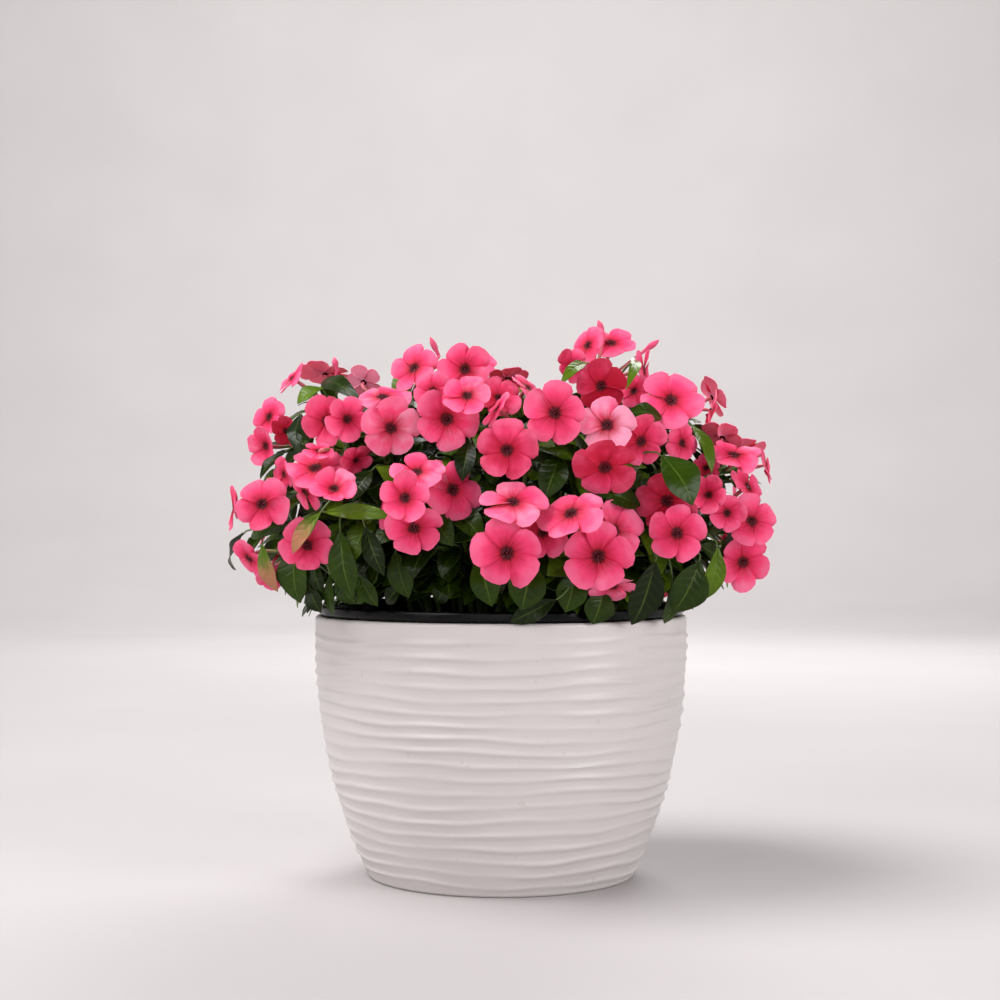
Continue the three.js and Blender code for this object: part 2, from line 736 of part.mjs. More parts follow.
// The point and the heading at a share of the way up a stem
const alongStem = (stops, share) => {
  const reach = share * (stops.length - 1);
  const first = Math.min(Math.floor(reach), stops.length - 2);
  return {
    point: stops[first].clone().lerp(stops[first + 1], reach - first),
    heading: stops[first + 1].clone().sub(stops[first]).normalize(),
  };
};

// Ways round what stands between two points: straight first, then bowed out to each side
const bows = [vec(0, 0, 0)];
for (const reach of [5, 9, 14, 20, 27]) {
  for (let k = 0; k < 10; k += 1) {
    const angle = (k / 10) * 2 * Math.PI;
    bows.push(vec(Math.cos(angle) * reach, Math.sin(angle) * reach, ((k % 3) - 1) * reach * 0.8));
  }
}
const knotShifts = bows.slice(0, knot.shifts);

// The knot where a head's tubes meet stands behind the middle of its blooms, on top of its stem
const average = (points) => {
  return points.reduce((sum, point) => sum.add(point), vec(0, 0, 0)).divideScalar(points.length);
};
const knotBody = ({ centre, axis }, margin = 0) => {
  const { length, topRadius, bottomRadius, sides } = knot;
  const body = new THREE.CylinderGeometry(topRadius + margin, bottomRadius + margin, length + margin, sides);
  body.translate(0, -knot.sink * length, 0);
  body.applyQuaternion(new THREE.Quaternion().setFromUnitVectors(vec(0, 1, 0), axis));
  return solidOf(body.translate(centre.x, centre.y, centre.z));
};
const knotFoot = ({ centre, axis }) => {
  return centre.clone().addScaledVector(axis, -(0.5 + knot.sink) * knot.length - gap);
};
const settleKnot = (head, blooms) => {
  const middle = average(blooms.map(({ eye }) => eye));
  const out = middle.clone().sub(crownHeart).normalize();
  const back = out.clone().multiplyScalar(knot.outwards);
  back.addScaledVector(average(blooms.map(({ facing }) => facing)), knot.backwards).normalize();
  const axis = out.clone().addScaledVector(UP, stem.rise).normalize();
  for (const shift of knotShifts) {
    for (const depth of knot.depths) {
      const frame = { centre: middle.clone().addScaledVector(back, -depth).add(shift), axis };
      const room = knotBody(frame, clearance);
      if (!isClear(head, room, room)) continue;
      place(head, knotBody(frame), null);
      return frame;
    }
  }
  throw new Error(`no room for the knot of ${head}`);
};

// A tube leaves its bloom straight back and bends to the knot, past its own head's petals where it can
const settleTube = (head, bloom, knotCentre) => {
  const start = bloom.eye.clone().addScaledVector(bloom.facing, -tube.sunk * tube.stub);
  for (const heeds of [true, false]) {
    for (const bow of bows) {
      const route = [stubEnd(bloom).addScaledVector(bow, tube.bend), knotCentre];
      const room = stemBody([start, ...route], tube.radius + clearance);
      const outer = heeds ? stemBody(route, tube.radius) : null;
      if (!isClear(head, room, outer, bloom.number)) continue;
      place(head, stemBody([start, ...route], tube.radius), null);
      return route;
    }
  }
  throw new Error(`no way for the tube of bloom ${bloom.number} of ${head}`);
};
const settleBud = (head, [tipX, tipY, baseX, baseY, behind], knotCentre) => {
  const radii = [bud.tipRadius, bud.bellyRadius, bud.baseRadius, bud.baseRadius];
  for (const deeper of depthSteps) {
    const tip = onCrown([tipX, tipY], behind + deeper);
    const base = pixelTowards([baseX, baseY], tip.y);
    const route = [tip, tip.clone().lerp(base, bud.belly), base, knotCentre];
    const room = stemBody(route, bud.bellyRadius + clearance);
    if (!isClear(head, room, stemBody(route.slice(0, 3), bud.bellyRadius))) continue;
    place(head, stemBody(route, radii), null);
    return stemBody(route, radii);
  }
  throw new Error(`no room for a bud of ${head}`);
};

// A shoot's first stem rises out of the soil, and the others fork off it
const rootsTowards = (point, roots) => {
  const places = stem.rootShares.flatMap((share) => {
    return stem.rootTurns.map((turn) => {
      return vec(point.x * share, point.y * share, soil.top - stem.root).applyAxisAngle(UP, turn);
    });
  });
  return places.filter((root) => {
    const apart = roots.every((other) => other.distanceTo(root) > stem.spacing);
    return apart && Math.hypot(root.x, root.y) < stem.farthest;
  });
};
const settleStem = (shoot, head, parent, roots) => {
  const { axis } = knots[head];
  const end = knotFoot(knots[head]);
  const starts = parent ? stem.forks.map((k) => parent[k]) : rootsTowards(end, roots);
  for (const start of starts) {
    const from = start.clone();
    if (!parent) from.z = soilHeight(start.x, start.y) + stem.collar;
    const reach = end.distanceTo(from);
    for (const bow of bows) {
      const leave = from.clone().addScaledVector(UP, reach * stem.leave).add(bow);
      const arrive = end.clone().addScaledVector(axis, -reach * stem.arrive).add(bow);
      const free = new THREE.CubicBezierCurve3(from, leave, arrive, end).getPoints(stem.steps);
      const room = stemBody(free, stem.radius + clearance);
      const body = stemBody(free, stem.radius);
      const box = boxOf(room);
      // The stem may come as close to its own head's knot as the gap between them
      const blocked = placed.some((other) => {
        if (other.owner === shoot) return false;
        return meets(other.owner === head && !other.outer ? body : room, box, other);
      });
      if (blocked) continue;
      const stops = parent ? free : [start, ...free];
      place(shoot, stemBody(stops, stem.radius), null);
      return stops;
    }
  }
  throw new Error(`no way for the stem of ${head}`);
};

// Leaves

// A leaf: a blade folded along its midrib and arched, which narrows to its root in the stem
const leafBody = ({ root, base, tip, width, lift }, margin = 0, bladeOnly = false) => {
  const { fold, arch, widestAt, narrowsAt, narrowing, thickness } = leafBlade;
  const along = tip.clone().sub(base);
  const length = along.length();
  along.normalize();
  const normal = lift.clone().addScaledVector(along, -lift.dot(along)).normalize();
  const side = along.clone().cross(normal);
  const point = (share, across, raise) => {
    return base
      .clone()
      .addScaledVector(along, share * length)
      .addScaledVector(side, across * (width / 2 + margin))
      .addScaledVector(normal, raise);
  };
  const bow = arch * length;
  const edge = fold * width;
  const points = [
    root,
    point(widestAt, -1, bow + edge),
    point(widestAt, 0, bow),
    point(widestAt, 1, bow + edge),
    point(narrowsAt, -narrowing, 0.8 * bow),
    point(narrowsAt, narrowing, 0.8 * bow),
    point(1 + margin / length, 0, -bow),
  ];
  const faces = [[0, 1, 2], [0, 2, 3], [1, 4, 2], [2, 4, 5], [2, 5, 3], [4, 6, 5]];
  if (!bladeOnly) return sheetBody(points, faces, thickness + 2 * margin);
  return sheetBody(points.slice(1), faces.slice(2).map((face) => face.map((k) => k - 1)), thickness);
};
const leavesOf = Object.fromEntries(Object.keys(shoots).map((shoot) => [shoot, []]));
// Gives a leaf its place if it clears its neighbours, and says whether it did
const settlesLeaf = (shoot, leaf) => {
  const blade = leafBody(leaf, 0, true);
  if (!isClear(shoot, leafBody(leaf, clearance), blade)) return false;
  const body = leafBody(leaf);
  place(shoot, body, blade);
  leavesOf[shoot].push(body);
  return true;
};

// A leaf of the front grows from the stem that it can reach best, and moves aside for its neighbours
const settleFrontLeaf = ([baseX, baseY, tipX, tipY, breadth, behindBase, behindTip]) => {
  const span = Math.hypot(tipX - baseX, tipY - baseY);
  const aside = [-(tipY - baseY) / span, (tipX - baseX) / span];
  for (const deeper of leafSteps.deeper) {
    const base = onCrown([baseX, baseY], behindBase + deeper);
    const depth = onCrown([tipX, tipY], behindTip + deeper).y;
    for (const step of leafSteps.aside) {
      const tip = pixelTowards([tipX + aside[0] * step, tipY + aside[1] * step], depth);
      const along = tip.clone().sub(base).normalize();
      const lift = base.clone().sub(crownHeart).normalize().add(towardsViewer);
      const near = stemPoints.map(({ shoot, point }) => {
        const way = base.clone().sub(point);
        const far = way.length();
        way.normalize();
        return { shoot, point, way, cost: far * (1 + leafBlade.sharpTurn * (1 - way.dot(along))) };
      });
      near.sort((a, b) => a.cost - b.cost);
      for (const shrink of leafSteps.shrink) {
        const width = breadth * pixelSize(base) * shrink;
        for (const { shoot, point, way } of near.slice(0, leafSteps.stems)) {
          const root = point.clone().addScaledVector(way, leafBlade.rootShift);
          if (settlesLeaf(shoot, { root, base, tip, width, lift })) return;
        }
      }
    }
  }
};

// Leaves in pairs, each pair turned against the one below it
const settlePairedLeaf = (shoot, head, pair, share, half, number) => {
  const { point: root, heading } = alongStem(stems[head], share);
  const out = root.clone().sub(crownHeart).normalize();
  const level = UP.clone().cross(heading).normalize();
  const { turnSpread, turnStep, leastSize, sizeSpread, small, smallFrom, climb, droop } = pairedLeaf;
  for (let attempt = 0; attempt < pairedLeaf.attempts; attempt += 1) {
    const draw = number * 40 + half * 20 + attempt;
    const aside = (chance(draw) - 0.5) * turnSpread + attempt * turnStep;
    const across = level.clone().applyAxisAngle(heading, ((pair + 2 * half) * Math.PI) / 2 + aside);
    const size = (leastSize + sizeSpread * chance(draw + 5000)) * (attempt < smallFrom ? 1 : small);
    const length = pairedLeaf.length * size;
    const way = across.clone().addScaledVector(heading, climb).addScaledVector(UP, -droop).normalize();
    const leaf = {
      root: root.clone().addScaledVector(across, 0.2 * stem.radius),
      base: root.clone().addScaledVector(way, 2 * stem.radius),
      tip: root.clone().addScaledVector(way, length).addScaledVector(UP, -droop * length),
      width: pairedLeaf.width * size,
      lift: UP.clone().add(out),
    };
    if (leaf.tip.z > pairedLeaf.lowest && settlesLeaf(shoot, leaf)) return;
  }
};

// The pieces, from the pots to the leaves

const coverPotBody = buildCoverPot();
const linerBody = buildLiner();
place("cover_pot", coverPotBody);
place("nursery_pot", linerBody);
place("soil", buildSoil([]));

const order = Object.entries(heads).flatMap(([head, blooms]) => blooms.map((bloom) => ({ head, bloom })));
order.sort((a, b) => a.bloom.behind - b.bloom.behind);
const settledHeads = Object.fromEntries(Object.keys(heads).map((head) => [head, []]));
for (const { head, bloom } of order) settledHeads[head].push(settleBloom(head, bloom));

const knots = {};
for (const [head, blooms] of Object.entries(settledHeads)) knots[head] = settleKnot(head, blooms);
const bloomBodies = {};
for (const [head, blooms] of Object.entries(settledHeads)) {
  const { centre } = knots[head];
  bloomBodies[head] = blooms.map((bloom) => bloomBody(bloom, settleTube(head, bloom, centre)));
  for (const row of frontBuds[head] ?? []) bloomBodies[head].push(settleBud(head, row, centre));
}

const stems = {};
const roots = [];
for (const [shoot, names] of Object.entries(shoots)) {
  for (const head of names) stems[head] = settleStem(shoot, head, stems[names[0]], roots);
  roots.push(stems[names[0]][0]);
}

const stemPoints = Object.entries(shoots).flatMap(([shoot, names]) => {
  return names.flatMap((head) => {
    const { length, from, forkFrom } = stemPlaces;
    const first = head === names[0] ? from : forkFrom;
    const places = Array.from({ length: length - first }, (_, i) => (i + first) / (length + 0.5));
    return places.map((share) => ({ shoot, point: alongStem(stems[head], share).point }));
  });
});
frontLeaves.forEach(settleFrontLeaf);
let pairCount = 0;
for (const [shoot, names] of Object.entries(shoots)) {
  for (const head of names) {
    if (frontHeads[head] && !pairedFrontHeads.includes(head)) continue;
    const places = frontHeads[head] ? pairedLeaf.frontPlaces : pairedLeaf.places;
    places.forEach((share, pair) => {
      pairCount += 1;
      for (const half of [0, 1]) settlePairedLeaf(shoot, head, pair, share, half, pairCount);
    });
  }
}

// The scene graph

const finish = (color, roughness) => new THREE.MeshStandardMaterial({ color, roughness, metalness: 0 });
const glaze = finish(0xe6e1da, 0.3);
const blackPlastic = finish(0x161616, 0.35);
const pottingSoil = finish(0x2b211a, 0.95);
const leafGreen = finish(0x2c5a2a, 0.4);
const raspberry = finish(0xe2557f, 0.6);

const plant = new THREE.Group();
const addPiece = (name, solid, material) => {
  const mesh = new THREE.Mesh(geometryOf(solid), material.clone());
  mesh.name = name;
  plant.add(mesh);
};
addPiece("cover_pot", coverPotBody, glaze);
addPiece("nursery_pot", linerBody, blackPlastic);
addPiece("soil", buildSoil(roots), pottingSoil);
for (const [shoot, names] of Object.entries(shoots)) {
  const stalks = names.map((head) => stemBody(stems[head], stem.radius));
  addPiece(shoot, joined([...stalks, ...leavesOf[shoot]]), leafGreen);
}
for (const [head, bodies] of Object.entries(bloomBodies)) {
  addPiece(`${head}Blooms`, joined([knotBody(knots[head]), ...bodies]), raspberry);
}

export default plant;
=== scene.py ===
import json
import math

import bpy
import numpy as np
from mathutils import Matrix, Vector
from mathutils.bvhtree import BVHTree
from mathutils.kdtree import KDTree

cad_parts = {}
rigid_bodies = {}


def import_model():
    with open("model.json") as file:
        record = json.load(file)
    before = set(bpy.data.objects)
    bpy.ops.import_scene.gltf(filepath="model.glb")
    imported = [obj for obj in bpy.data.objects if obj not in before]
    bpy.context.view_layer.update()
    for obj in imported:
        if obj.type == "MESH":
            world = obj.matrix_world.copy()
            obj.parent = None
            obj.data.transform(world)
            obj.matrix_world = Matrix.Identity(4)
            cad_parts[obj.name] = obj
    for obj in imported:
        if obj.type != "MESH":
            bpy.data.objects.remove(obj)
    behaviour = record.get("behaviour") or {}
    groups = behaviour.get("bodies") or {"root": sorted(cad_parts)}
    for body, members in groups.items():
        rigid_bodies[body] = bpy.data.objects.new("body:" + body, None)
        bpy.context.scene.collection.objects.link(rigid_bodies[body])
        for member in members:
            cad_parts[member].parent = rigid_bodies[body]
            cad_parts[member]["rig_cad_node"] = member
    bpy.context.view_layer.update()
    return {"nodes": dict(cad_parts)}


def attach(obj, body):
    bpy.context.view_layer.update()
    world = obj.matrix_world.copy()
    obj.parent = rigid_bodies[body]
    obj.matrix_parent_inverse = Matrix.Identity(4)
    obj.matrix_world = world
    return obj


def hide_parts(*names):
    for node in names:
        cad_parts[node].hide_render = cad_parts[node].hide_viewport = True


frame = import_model()
mm = 0.001
print("frame loaded:", len(frame["nodes"]), "nodes")


# Shader nodes

def spaced(words):
    # baseColor is Base Color, the name of the socket
    return "".join(" " + c if c.isupper() else c for c in words).strip().title().replace("Ior", "IOR")


class Wire:
    # a shader socket that can stand in sums, such as 1 - mask * 0.5

    def __init__(self, finish, socket):
        self.finish = finish
        self.socket = socket

    def also(self, output):
        return Wire(self.finish, self.socket.node.outputs[output])

    def __add__(self, other):
        return self.finish.maths("ADD", self, other)

    def __radd__(self, other):
        return self.finish.maths("ADD", other, self)

    def __sub__(self, other):
        return self.finish.maths("SUBTRACT", self, other)

    def __rsub__(self, other):
        return self.finish.maths("SUBTRACT", other, self)

    def __mul__(self, other):
        return self.finish.maths("MULTIPLY", self, other)

    def __rmul__(self, other):
        return self.finish.maths("MULTIPLY", other, self)

    def __abs__(self):
        return self.finish.maths("ABSOLUTE", self)


class Finish:
    # one material: its Principled surface, and the nodes that feed it

    def __init__(self, name, **constants):
        self.material = bpy.data.materials.new(name)
        self.material.use_nodes = True
        self.tree = self.material.node_tree
        self.surface = self.tree.nodes["Principled BSDF"]
        for words, value in constants.items():
            self.set(self.surface, {spaced(words): value})

    def set(self, node, inputs):
        for key, value in inputs.items():
            socket = node.inputs[key]
            if isinstance(value, Wire):
                self.tree.links.new(value.socket, socket)
            elif socket.type == "RGBA":
                socket.default_value = (*value, 1)
            else:
                socket.default_value = value

    def add(self, kind, settings=None, inputs=None, output=0):
        node = self.tree.nodes.new("ShaderNode" + kind)
        for key, value in (settings or {}).items():
            setattr(node, key, value)
        self.set(node, inputs or {})
        return Wire(self, node.outputs[output])

    def maths(self, operation, *values):
        return self.add("Math", {"operation": operation}, dict(enumerate(values)))

    def mix(self, mask, first, second):
        return self.add("Mix", {"data_type": "RGBA"}, {0: mask, 6: first, 7: second}, output=2)

    def between(self, value, low, high, start=0, end=1):
        # 0 to 1, smoothly, as the value goes from low to high
        inputs = {"Value": value, "From Min": low, "From Max": high, "To Min": start, "To Max": end}
        return self.add("MapRange", {"interpolation_type": "SMOOTHSTEP"}, inputs)

    def parts(self, name):
        # the three numbers that each point of a piece carries under this name
        attribute = self.add("Attribute", {"attribute_name": name}, output="Vector")
        split = self.add("SeparateXYZ", inputs={0: attribute})
        return split, split.also("Y"), split.also("Z")

    def vector(self, x, y, z):
        return self.add("CombineXYZ", inputs={0: x, 1: y, 2: z})

    def noise(self, vector, scale, detail=2, roughness=0.5):
        inputs = {"Vector": vector, "Scale": scale, "Detail": detail, "Roughness": roughness}
        return self.add("TexNoise", inputs=inputs)

    def bump(self, height, distance, strength=1):
        return self.add("Bump", inputs={"Height": height, "Distance": distance, "Strength": strength})

    def object(self):
        return self.add("TexCoord", output="Object")

    def glow(self, colour, share):
        # lets some light through a thin blade
        through = self.add("BsdfTranslucent", inputs={"Color": colour})
        solid = Wire(self, self.surface.outputs[0])
        mixed = self.add("MixShader", inputs={0: share, 1: solid, 2: through})
        self.set(self.tree.nodes["Material Output"], {"Surface": mixed})


# Where the blooms, stems and leaves of the frame stand

up = np.array([0.0, 0.0, 1.0])
crown = {"halfWidth": 190, "halfDepth": 163, "middle": 252, "rise": 126, "drop": 96, "from": -183, "to": 30}
rearCrown = {"halfWidth": 168, "halfDepth": 152, "middle": 236, "rise": 92, "drop": 90}
crownHeart = np.array([0.0, 0.0, 195.0])    # heads and leaves turn away from here
photoView = {"side": -0.7, "distance": 1330, "height": 245, "pitch": 0.67, "focal": 1895, "middle": 500}
depthSteps = [0, 2, 4, -2, 6, 8, -4, 10, 12, -6, 14, 17, 20, -9, 24, 28, 32, -12, 36, 41, 46, 52, 58]

# Blooms that the front shows, by the head they grow on: the eye's place and the bloom's radius in photograph
# pixels, the way it faces (degrees right, degrees up), the turn of its petals, how far it is cupped, how many
# millimetres it lies behind the crown, and how light its pink is; the lowest values paint shade, a deeper
# pink on blooms that sit deep in shade
frontHeads = {
    "leftTop": [
        (292, 378, 19, -68, 32, 20, 0.1, 12, 0.1),
        (325, 373, 26, 176, 66, 10, 0.05, 30, 0.5),
    ],
    "leftShoulder": [
        (269, 417, 21, -38, 12, 52, 0.1, 14, 0),
        (266, 446, 20, -42, -5, 63, 0.45, 20, 0.1),
        (286, 431, 17, -25, -25, 0, 0.2, 34, -0.8),
    ],
    "leftUpper": [
        (327, 421, 26, -15, -5, 36, 0.3, 6, -0.3),
        (347, 419, 23, 22, 8, 23, 0.15, -4, -0.1),
        (319, 451, 16, 18, 55, 30, 0.1, 2, 0.1),
    ],
    "leftMiddle": [
        (315, 468, 30, -5, 44, 41, 0.1, 2, 0),
        (334, 489, 24, 4, 36, 34, 0.4, -8, 0.2),
        (305, 492, 22, -55, -32, 10, 0.05, 12, 0.1),
        (284, 474, 17, -55, -5, 44, 0.2, 26, -0.2),
    ],
    "leftEdge": [
        (262, 504, 28, -8, 15, 33, 0.05, 0, 0),
        (233, 508, 23, -74, 2, 15, 0.1, 34, -0.2),
    ],
    "leftLow": [
        (307, 545, 28, -5, -10, 33, 0.1, 4, -0.1),
        (249, 558, 22, -48, -35, 20, 0.1, 22, 0.1),
        (275, 576, 20, 15, -48, 40, 0.2, 22, 0.2),
    ],
    "middleTop": [
        (414, 368, 26, -32, 22, 50, 0.15, 14, 0.1),
        (383, 397, 28, 0, 58, 18, 0.05, 6, 0.2),
        (364, 382, 18, 165, 25, 8, 0.1, 24, 0.9),
    ],
    "middleUpper": [
        (391, 428, 30, 5, -8, 0, 0.05, 4, 0.5),
        (356, 460, 18, 40, -35, 20, 0.1, 24, -0.4),
    ],
    "centreTop": [
        (465, 369, 27, 0, 8, 43, 0.2, 16, 0.1),
        (467, 396, 25, 0, 32, 10, 0.15, -6, 0.2),
        (473, 362, 25, 10, 55, 66, 0.1, 42, 0),
    ],
    "centreUpper": [
        (447, 419, 32, 5, 2, 21, 0.05, 2, 0.1),
        (433, 391, 20, -12, 5, 30, 0.1, 20, -0.2),
    ],
    "middleLow": [
        (417, 472, 28, 0, 52, 62, 0.1, 6, 0.2),
        (405, 498, 26, -3, 12, 70, 0.3, -6, -0.1),
        (414, 528, 30, 0, -28, 53, 0.1, 4, -0.1),
        (453, 490, 32, 22, 15, 20, 0.05, 8, 0.2),
        (386, 513, 21, -68, -8, 25, 0.1, 16, -0.2),
    ],
    "centre": [
        (507, 450, 31, 0, -8, 0, 0.05, 0, -0.4),
        (555, 413, 32, 0, 2, 3, 0.03, -4, 0),
    ],
    "centreBack": [
        (499, 398, 22, 10, 15, 45, 0.2, 22, -0.5),
        (528, 388, 20, 58, 40, 12, 0.1, 26, 0),
        (508, 377, 20, 175, 68, 50, 0.1, 46, 0),
        (497, 409, 20, -68, 32, 0, 0.1, 12, 0.1),
    ],
    "rightTop": [
        (588, 345, 21, -40, 28, 8, 0.1, 8, -0.1),
        (611, 343, 25, 5, 50, 35, 0.1, 4, 0),
        (601, 386, 27, 0, -12, 62, 0.1, 14, -0.9),
        (644, 370, 22, 74, 5, 20, 0.1, 24, 0),
        (573, 366, 18, -35, -15, 30, 0.1, 34, -0.3),
    ],
    "rightUpper": [
        (607, 425, 29, 0, 10, 62, 0.05, 0, 0.68),
        (605, 467, 33, 0, -30, 54, 0.08, 2, -0.5),
        (641, 441, 27, 20, -8, 64, 0.1, 10, -0.3),
    ],
    "rightShoulder": [
        (671, 400, 32, 3, 33, 33, 0.12, 0, 0),
        (682, 443, 20, 35, 0, 18, 0.1, 26, -0.2),
        (634, 391, 18, -20, 10, 50, 0.1, 30, -0.2),
    ],
    "rightBack": [
        (712, 411, 22, 78, -14, 10, 0.1, 26, -0.2),
        (713, 397, 22, 112, 22, 40, 0.1, 58, 0.45),
    ],
    "rightEdge": [
        (734, 455, 28, 8, 52, 62, 0.08, 6, 0),
        (723, 437, 22, 150, 45, 30, 0.1, 32, 0.45),
        (746, 449, 20, 178, 60, 0, 0.1, 40, 0.1),
        (766, 465, 20, 74, 10, 20, 0.1, 24, 0),
    ],
    "rightFront": [
        (667, 501, 31, -5, -20, 49, 0.1, 12, -0.8),
        (677, 533, 30, 0, 0, 71, 0.03, 0, -0.1),
        (709, 495, 19, -20, 5, 25, 0.5, 2, 0),
        (706, 468, 15, 10, -10, 60, 0.2, 26, -0.4),
    ],
    "rightLow": [
        (748, 487, 24, 58, 25, 10, 0.1, 18, 0),
        (752, 521, 27, 15, 3, 65, 0.05, 0, 0),
        (727, 513, 19, 8, 0, 15, 0.2, 14, -0.1),
        (743, 562, 28, 14, -6, 30, 0.25, 8, 0),
    ],
    "frontMiddle": [
        (513, 502, 33, 0, 48, 65, 0.05, 2, 0.3),
        (543, 532, 27, 0, -5, 59, 0.1, 10, -0.2),
        (507, 553, 36, 0, -4, 60, 0.03, -4, -0.1),
    ],
    "frontRight": [
        (571, 513, 35, -20, 44, 37, 0.05, -2, 0.3),
        (598, 556, 36, 2, -14, 5, 0.06, -2, 0),
        (614, 531, 31, 24, 6, 62, 0.08, 2, 0.1),
        (613, 586, 24, 4, -58, 20, 0.2, 16, 0.4),
    ],
}

# Heads of the sides, back and top: the azimuth (0 is the front, 90 the right), the height angle over the
# crown's middle, and the number of blooms
rearHeads = {
    "rearRight": (110, 8, 3),
    "rearRightLow": (138, -8, 3),
    "rearRightHigh": (122, 42, 3),
    "backRight": (164, 12, 3),
    "backHigh": (180, 46, 3),
    "backLow": (192, -8, 2),
    "backLeft": (216, 10, 3),
    "rearLeft": (248, 4, 3),
    "rearLeftHigh": (242, 42, 3),
    "crownTop": (196, 74, 3),
}
rearSpread = {"ring": 30, "tilt": 34, "radius": 20.5, "depth": 6, "cup": 0.1}

# The heads of each branching shoot: the first one's stem comes out of the soil, the other forks off it
branching = [
    ("leftTop", "leftShoulder"), ("leftUpper", "middleUpper"), ("leftMiddle",), ("leftEdge", "leftLow"),
    ("middleTop", "centreTop"), ("centreUpper", "centreBack"), ("middleLow",), ("centre",), ("rightTop",),
    ("rightUpper", "rightShoulder"), ("rightEdge", "rightBack"), ("rightFront",), ("rightLow",),
    ("frontMiddle",), ("frontRight",), ("rearRight", "rearRightHigh"), ("backRight", "rearRightLow"),
    ("backHigh", "crownTop"), ("backLow",), ("backLeft",), ("rearLeft", "rearLeftHigh"),
]
shoots = {heads[0] + "Shoot": heads for heads in branching}
shootOf = {head: shoot for shoot, heads in shoots.items() for head in heads}

# Leaves that the front shows: base, tip and width in photograph pixels, the millimetres that base and tip lie
# behind the crown, and the look: g green, y yellow green, b bronze, s shining
frontLeaves = [
    (243, 533, 231, 570, 14, 16, 6, "g"),
    (262, 545, 276, 592, 18, 14, 4, "b"),
    (295, 545, 298, 603, 34, 30, 8, "g"),
    (312, 556, 322, 594, 16, 34, 20, "g"),
    (320, 513, 291, 553, 18, 6, -8, "b"),
    (340, 532, 347, 598, 34, 18, 4, "g"),
    (330, 575, 333, 617, 14, 30, 14, "g"),
    (365, 527, 383, 575, 20, 22, 12, "g"),
    (358, 575, 377, 606, 18, 36, 24, "g"),
    (325, 512, 395, 512, 18, 16, 10, "y"),
    (395, 552, 408, 598, 24, 40, 30, "g"),
    (427, 510, 452, 545, 30, 20, 8, "g"),
    (478, 558, 492, 606, 28, 24, 8, "g"),
    (532, 562, 522, 610, 36, 20, 4, "g"),
    (556, 600, 517, 632, 20, 14, -2, "g"),
    (604, 590, 597, 625, 30, 26, 4, "g"),
    (576, 572, 566, 612, 30, 30, 12, "g"),
    (655, 562, 633, 626, 40, 20, 0, "g"),
    (672, 585, 666, 625, 18, 26, 12, "g"),
    (700, 562, 674, 613, 38, 18, 4, "g"),
    (718, 548, 706, 600, 22, 14, 2, "y"),
    (700, 530, 690, 575, 24, 26, 16, "g"),
    (322, 388, 297, 402, 20, 12, -2, "y"),
    (322, 382, 357, 396, 18, 12, 2, "g"),
    (300, 415, 297, 452, 16, 22, 12, "g"),
    (285, 452, 270, 482, 16, 30, 18, "g"),
    (350, 440, 364, 480, 22, 40, 32, "g"),
    (372, 470, 352, 500, 22, 26, 16, "g"),
    (662, 418, 630, 412, 20, 14, 2, "s"),
    (663, 456, 690, 505, 40, 10, -6, "s"),
    (692, 425, 706, 472, 18, 30, 20, "y"),
    (636, 358, 625, 382, 11, 10, 0, "y"),
    (586, 362, 572, 387, 14, 16, 8, "y"),
    (560, 455, 545, 498, 28, 26, 18, "g"),
    (640, 505, 600, 492, 24, 22, 14, "g"),
    (470, 440, 462, 480, 24, 30, 24, "g"),
    (525, 460, 560, 470, 24, 30, 24, "g"),
    (655, 480, 640, 500, 20, 24, 16, "g"),
]
leafSteps = {
    "deeper": [0, 4, -4, 8, 12, -8, 17, 22], "aside": [0, 4, -4, 8, -8, 12, -12], "shrink": [1, 0.85],
    "deepest": [28, 34, 40],
}
frontLift = (0, -0.8, 0.24)    # by which leaves of the front show their upper sides
pairedLeaf = {
    "length": 58, "width": 22, "places": [0.5, 0.84], "frontPlaces": [0.7], "attempts": 14, "smallFrom": 8,
    "small": 0.8, "leastSize": 0.75, "sizeSpread": 0.4, "turnSpread": 1.6, "turnStep": 0.35, "climb": 0.5,
    "droop": 0.15,
}
pairedFrontHeads = ["leftTop", "leftShoulder", "centreTop", "centreBack", "rightTop", "rightLow"]

# Closed buds: tip and base in photograph pixels, and the millimetres that they lie behind the crown
frontBuds = {
    "leftTop": [(334, 357, 337, 371, 20)],
    "middleTop": [(430, 337, 439, 356, 22)],
    "rightTop": [(659, 340, 643, 352, 16), (598, 320, 604, 336, 6)],
}

knot = {
    "length": 7, "topRadius": 4.2, "bottomRadius": 1.8, "sink": 0.1, "outwards": 0.7, "backwards": 0.5,
    "gap": 0.3,
}
knotDepths = [25, 30, 21, 35, 40, 17, 45]
tube = {"stub": 11, "radius": 1.35, "bend": 0.5}
bud = {"tipRadius": 0.7}
stem = {"radius": 1.9, "root": 20, "collar": 3, "rise": 0.7, "leave": 0.3, "arrive": 0.35, "steps": 4}
stemRoots = {"shares": [0.42, 0.36, 0.48, 0.3, 0.54, 0.24, 0.6], "turns": [0, 0.15, -0.15, 0.3, -0.3]}
stemSpace = {"spacing": 11, "farthest": 88, "forks": [3, 2, 4]}
soil = {"top": 172, "mound": 4, "crumb": 1.4, "radius": 119.2}
leafBlade = {"fold": 0.13, "arch": 0.07, "narrowsAt": 0.75, "narrowing": 0.8, "thickness": 0.9}
petalTurn = 72    # degrees from one petal to the next
notchReach = 0.7    # of a bloom's radius, where the outline dips between two petals
leafLimit = 0.1    # millimetres by which a leaf may miss the frame's corners


def unit(v):
    return v / np.linalg.norm(v)


def chance(n):
    wide = math.sin(n * 12.9898 + 4.1) * 43758.5453
    return wide - math.floor(wide)


def drawn(low, spread, n):
    # the nth draw of an even spread that starts at low
    return low + spread * chance(n)


def turned(v, axis, angle):
    # v turned about a unit axis
    along = axis * (v @ axis)
    return along + (v - along) * math.cos(angle) + np.cross(axis, v) * math.sin(angle)


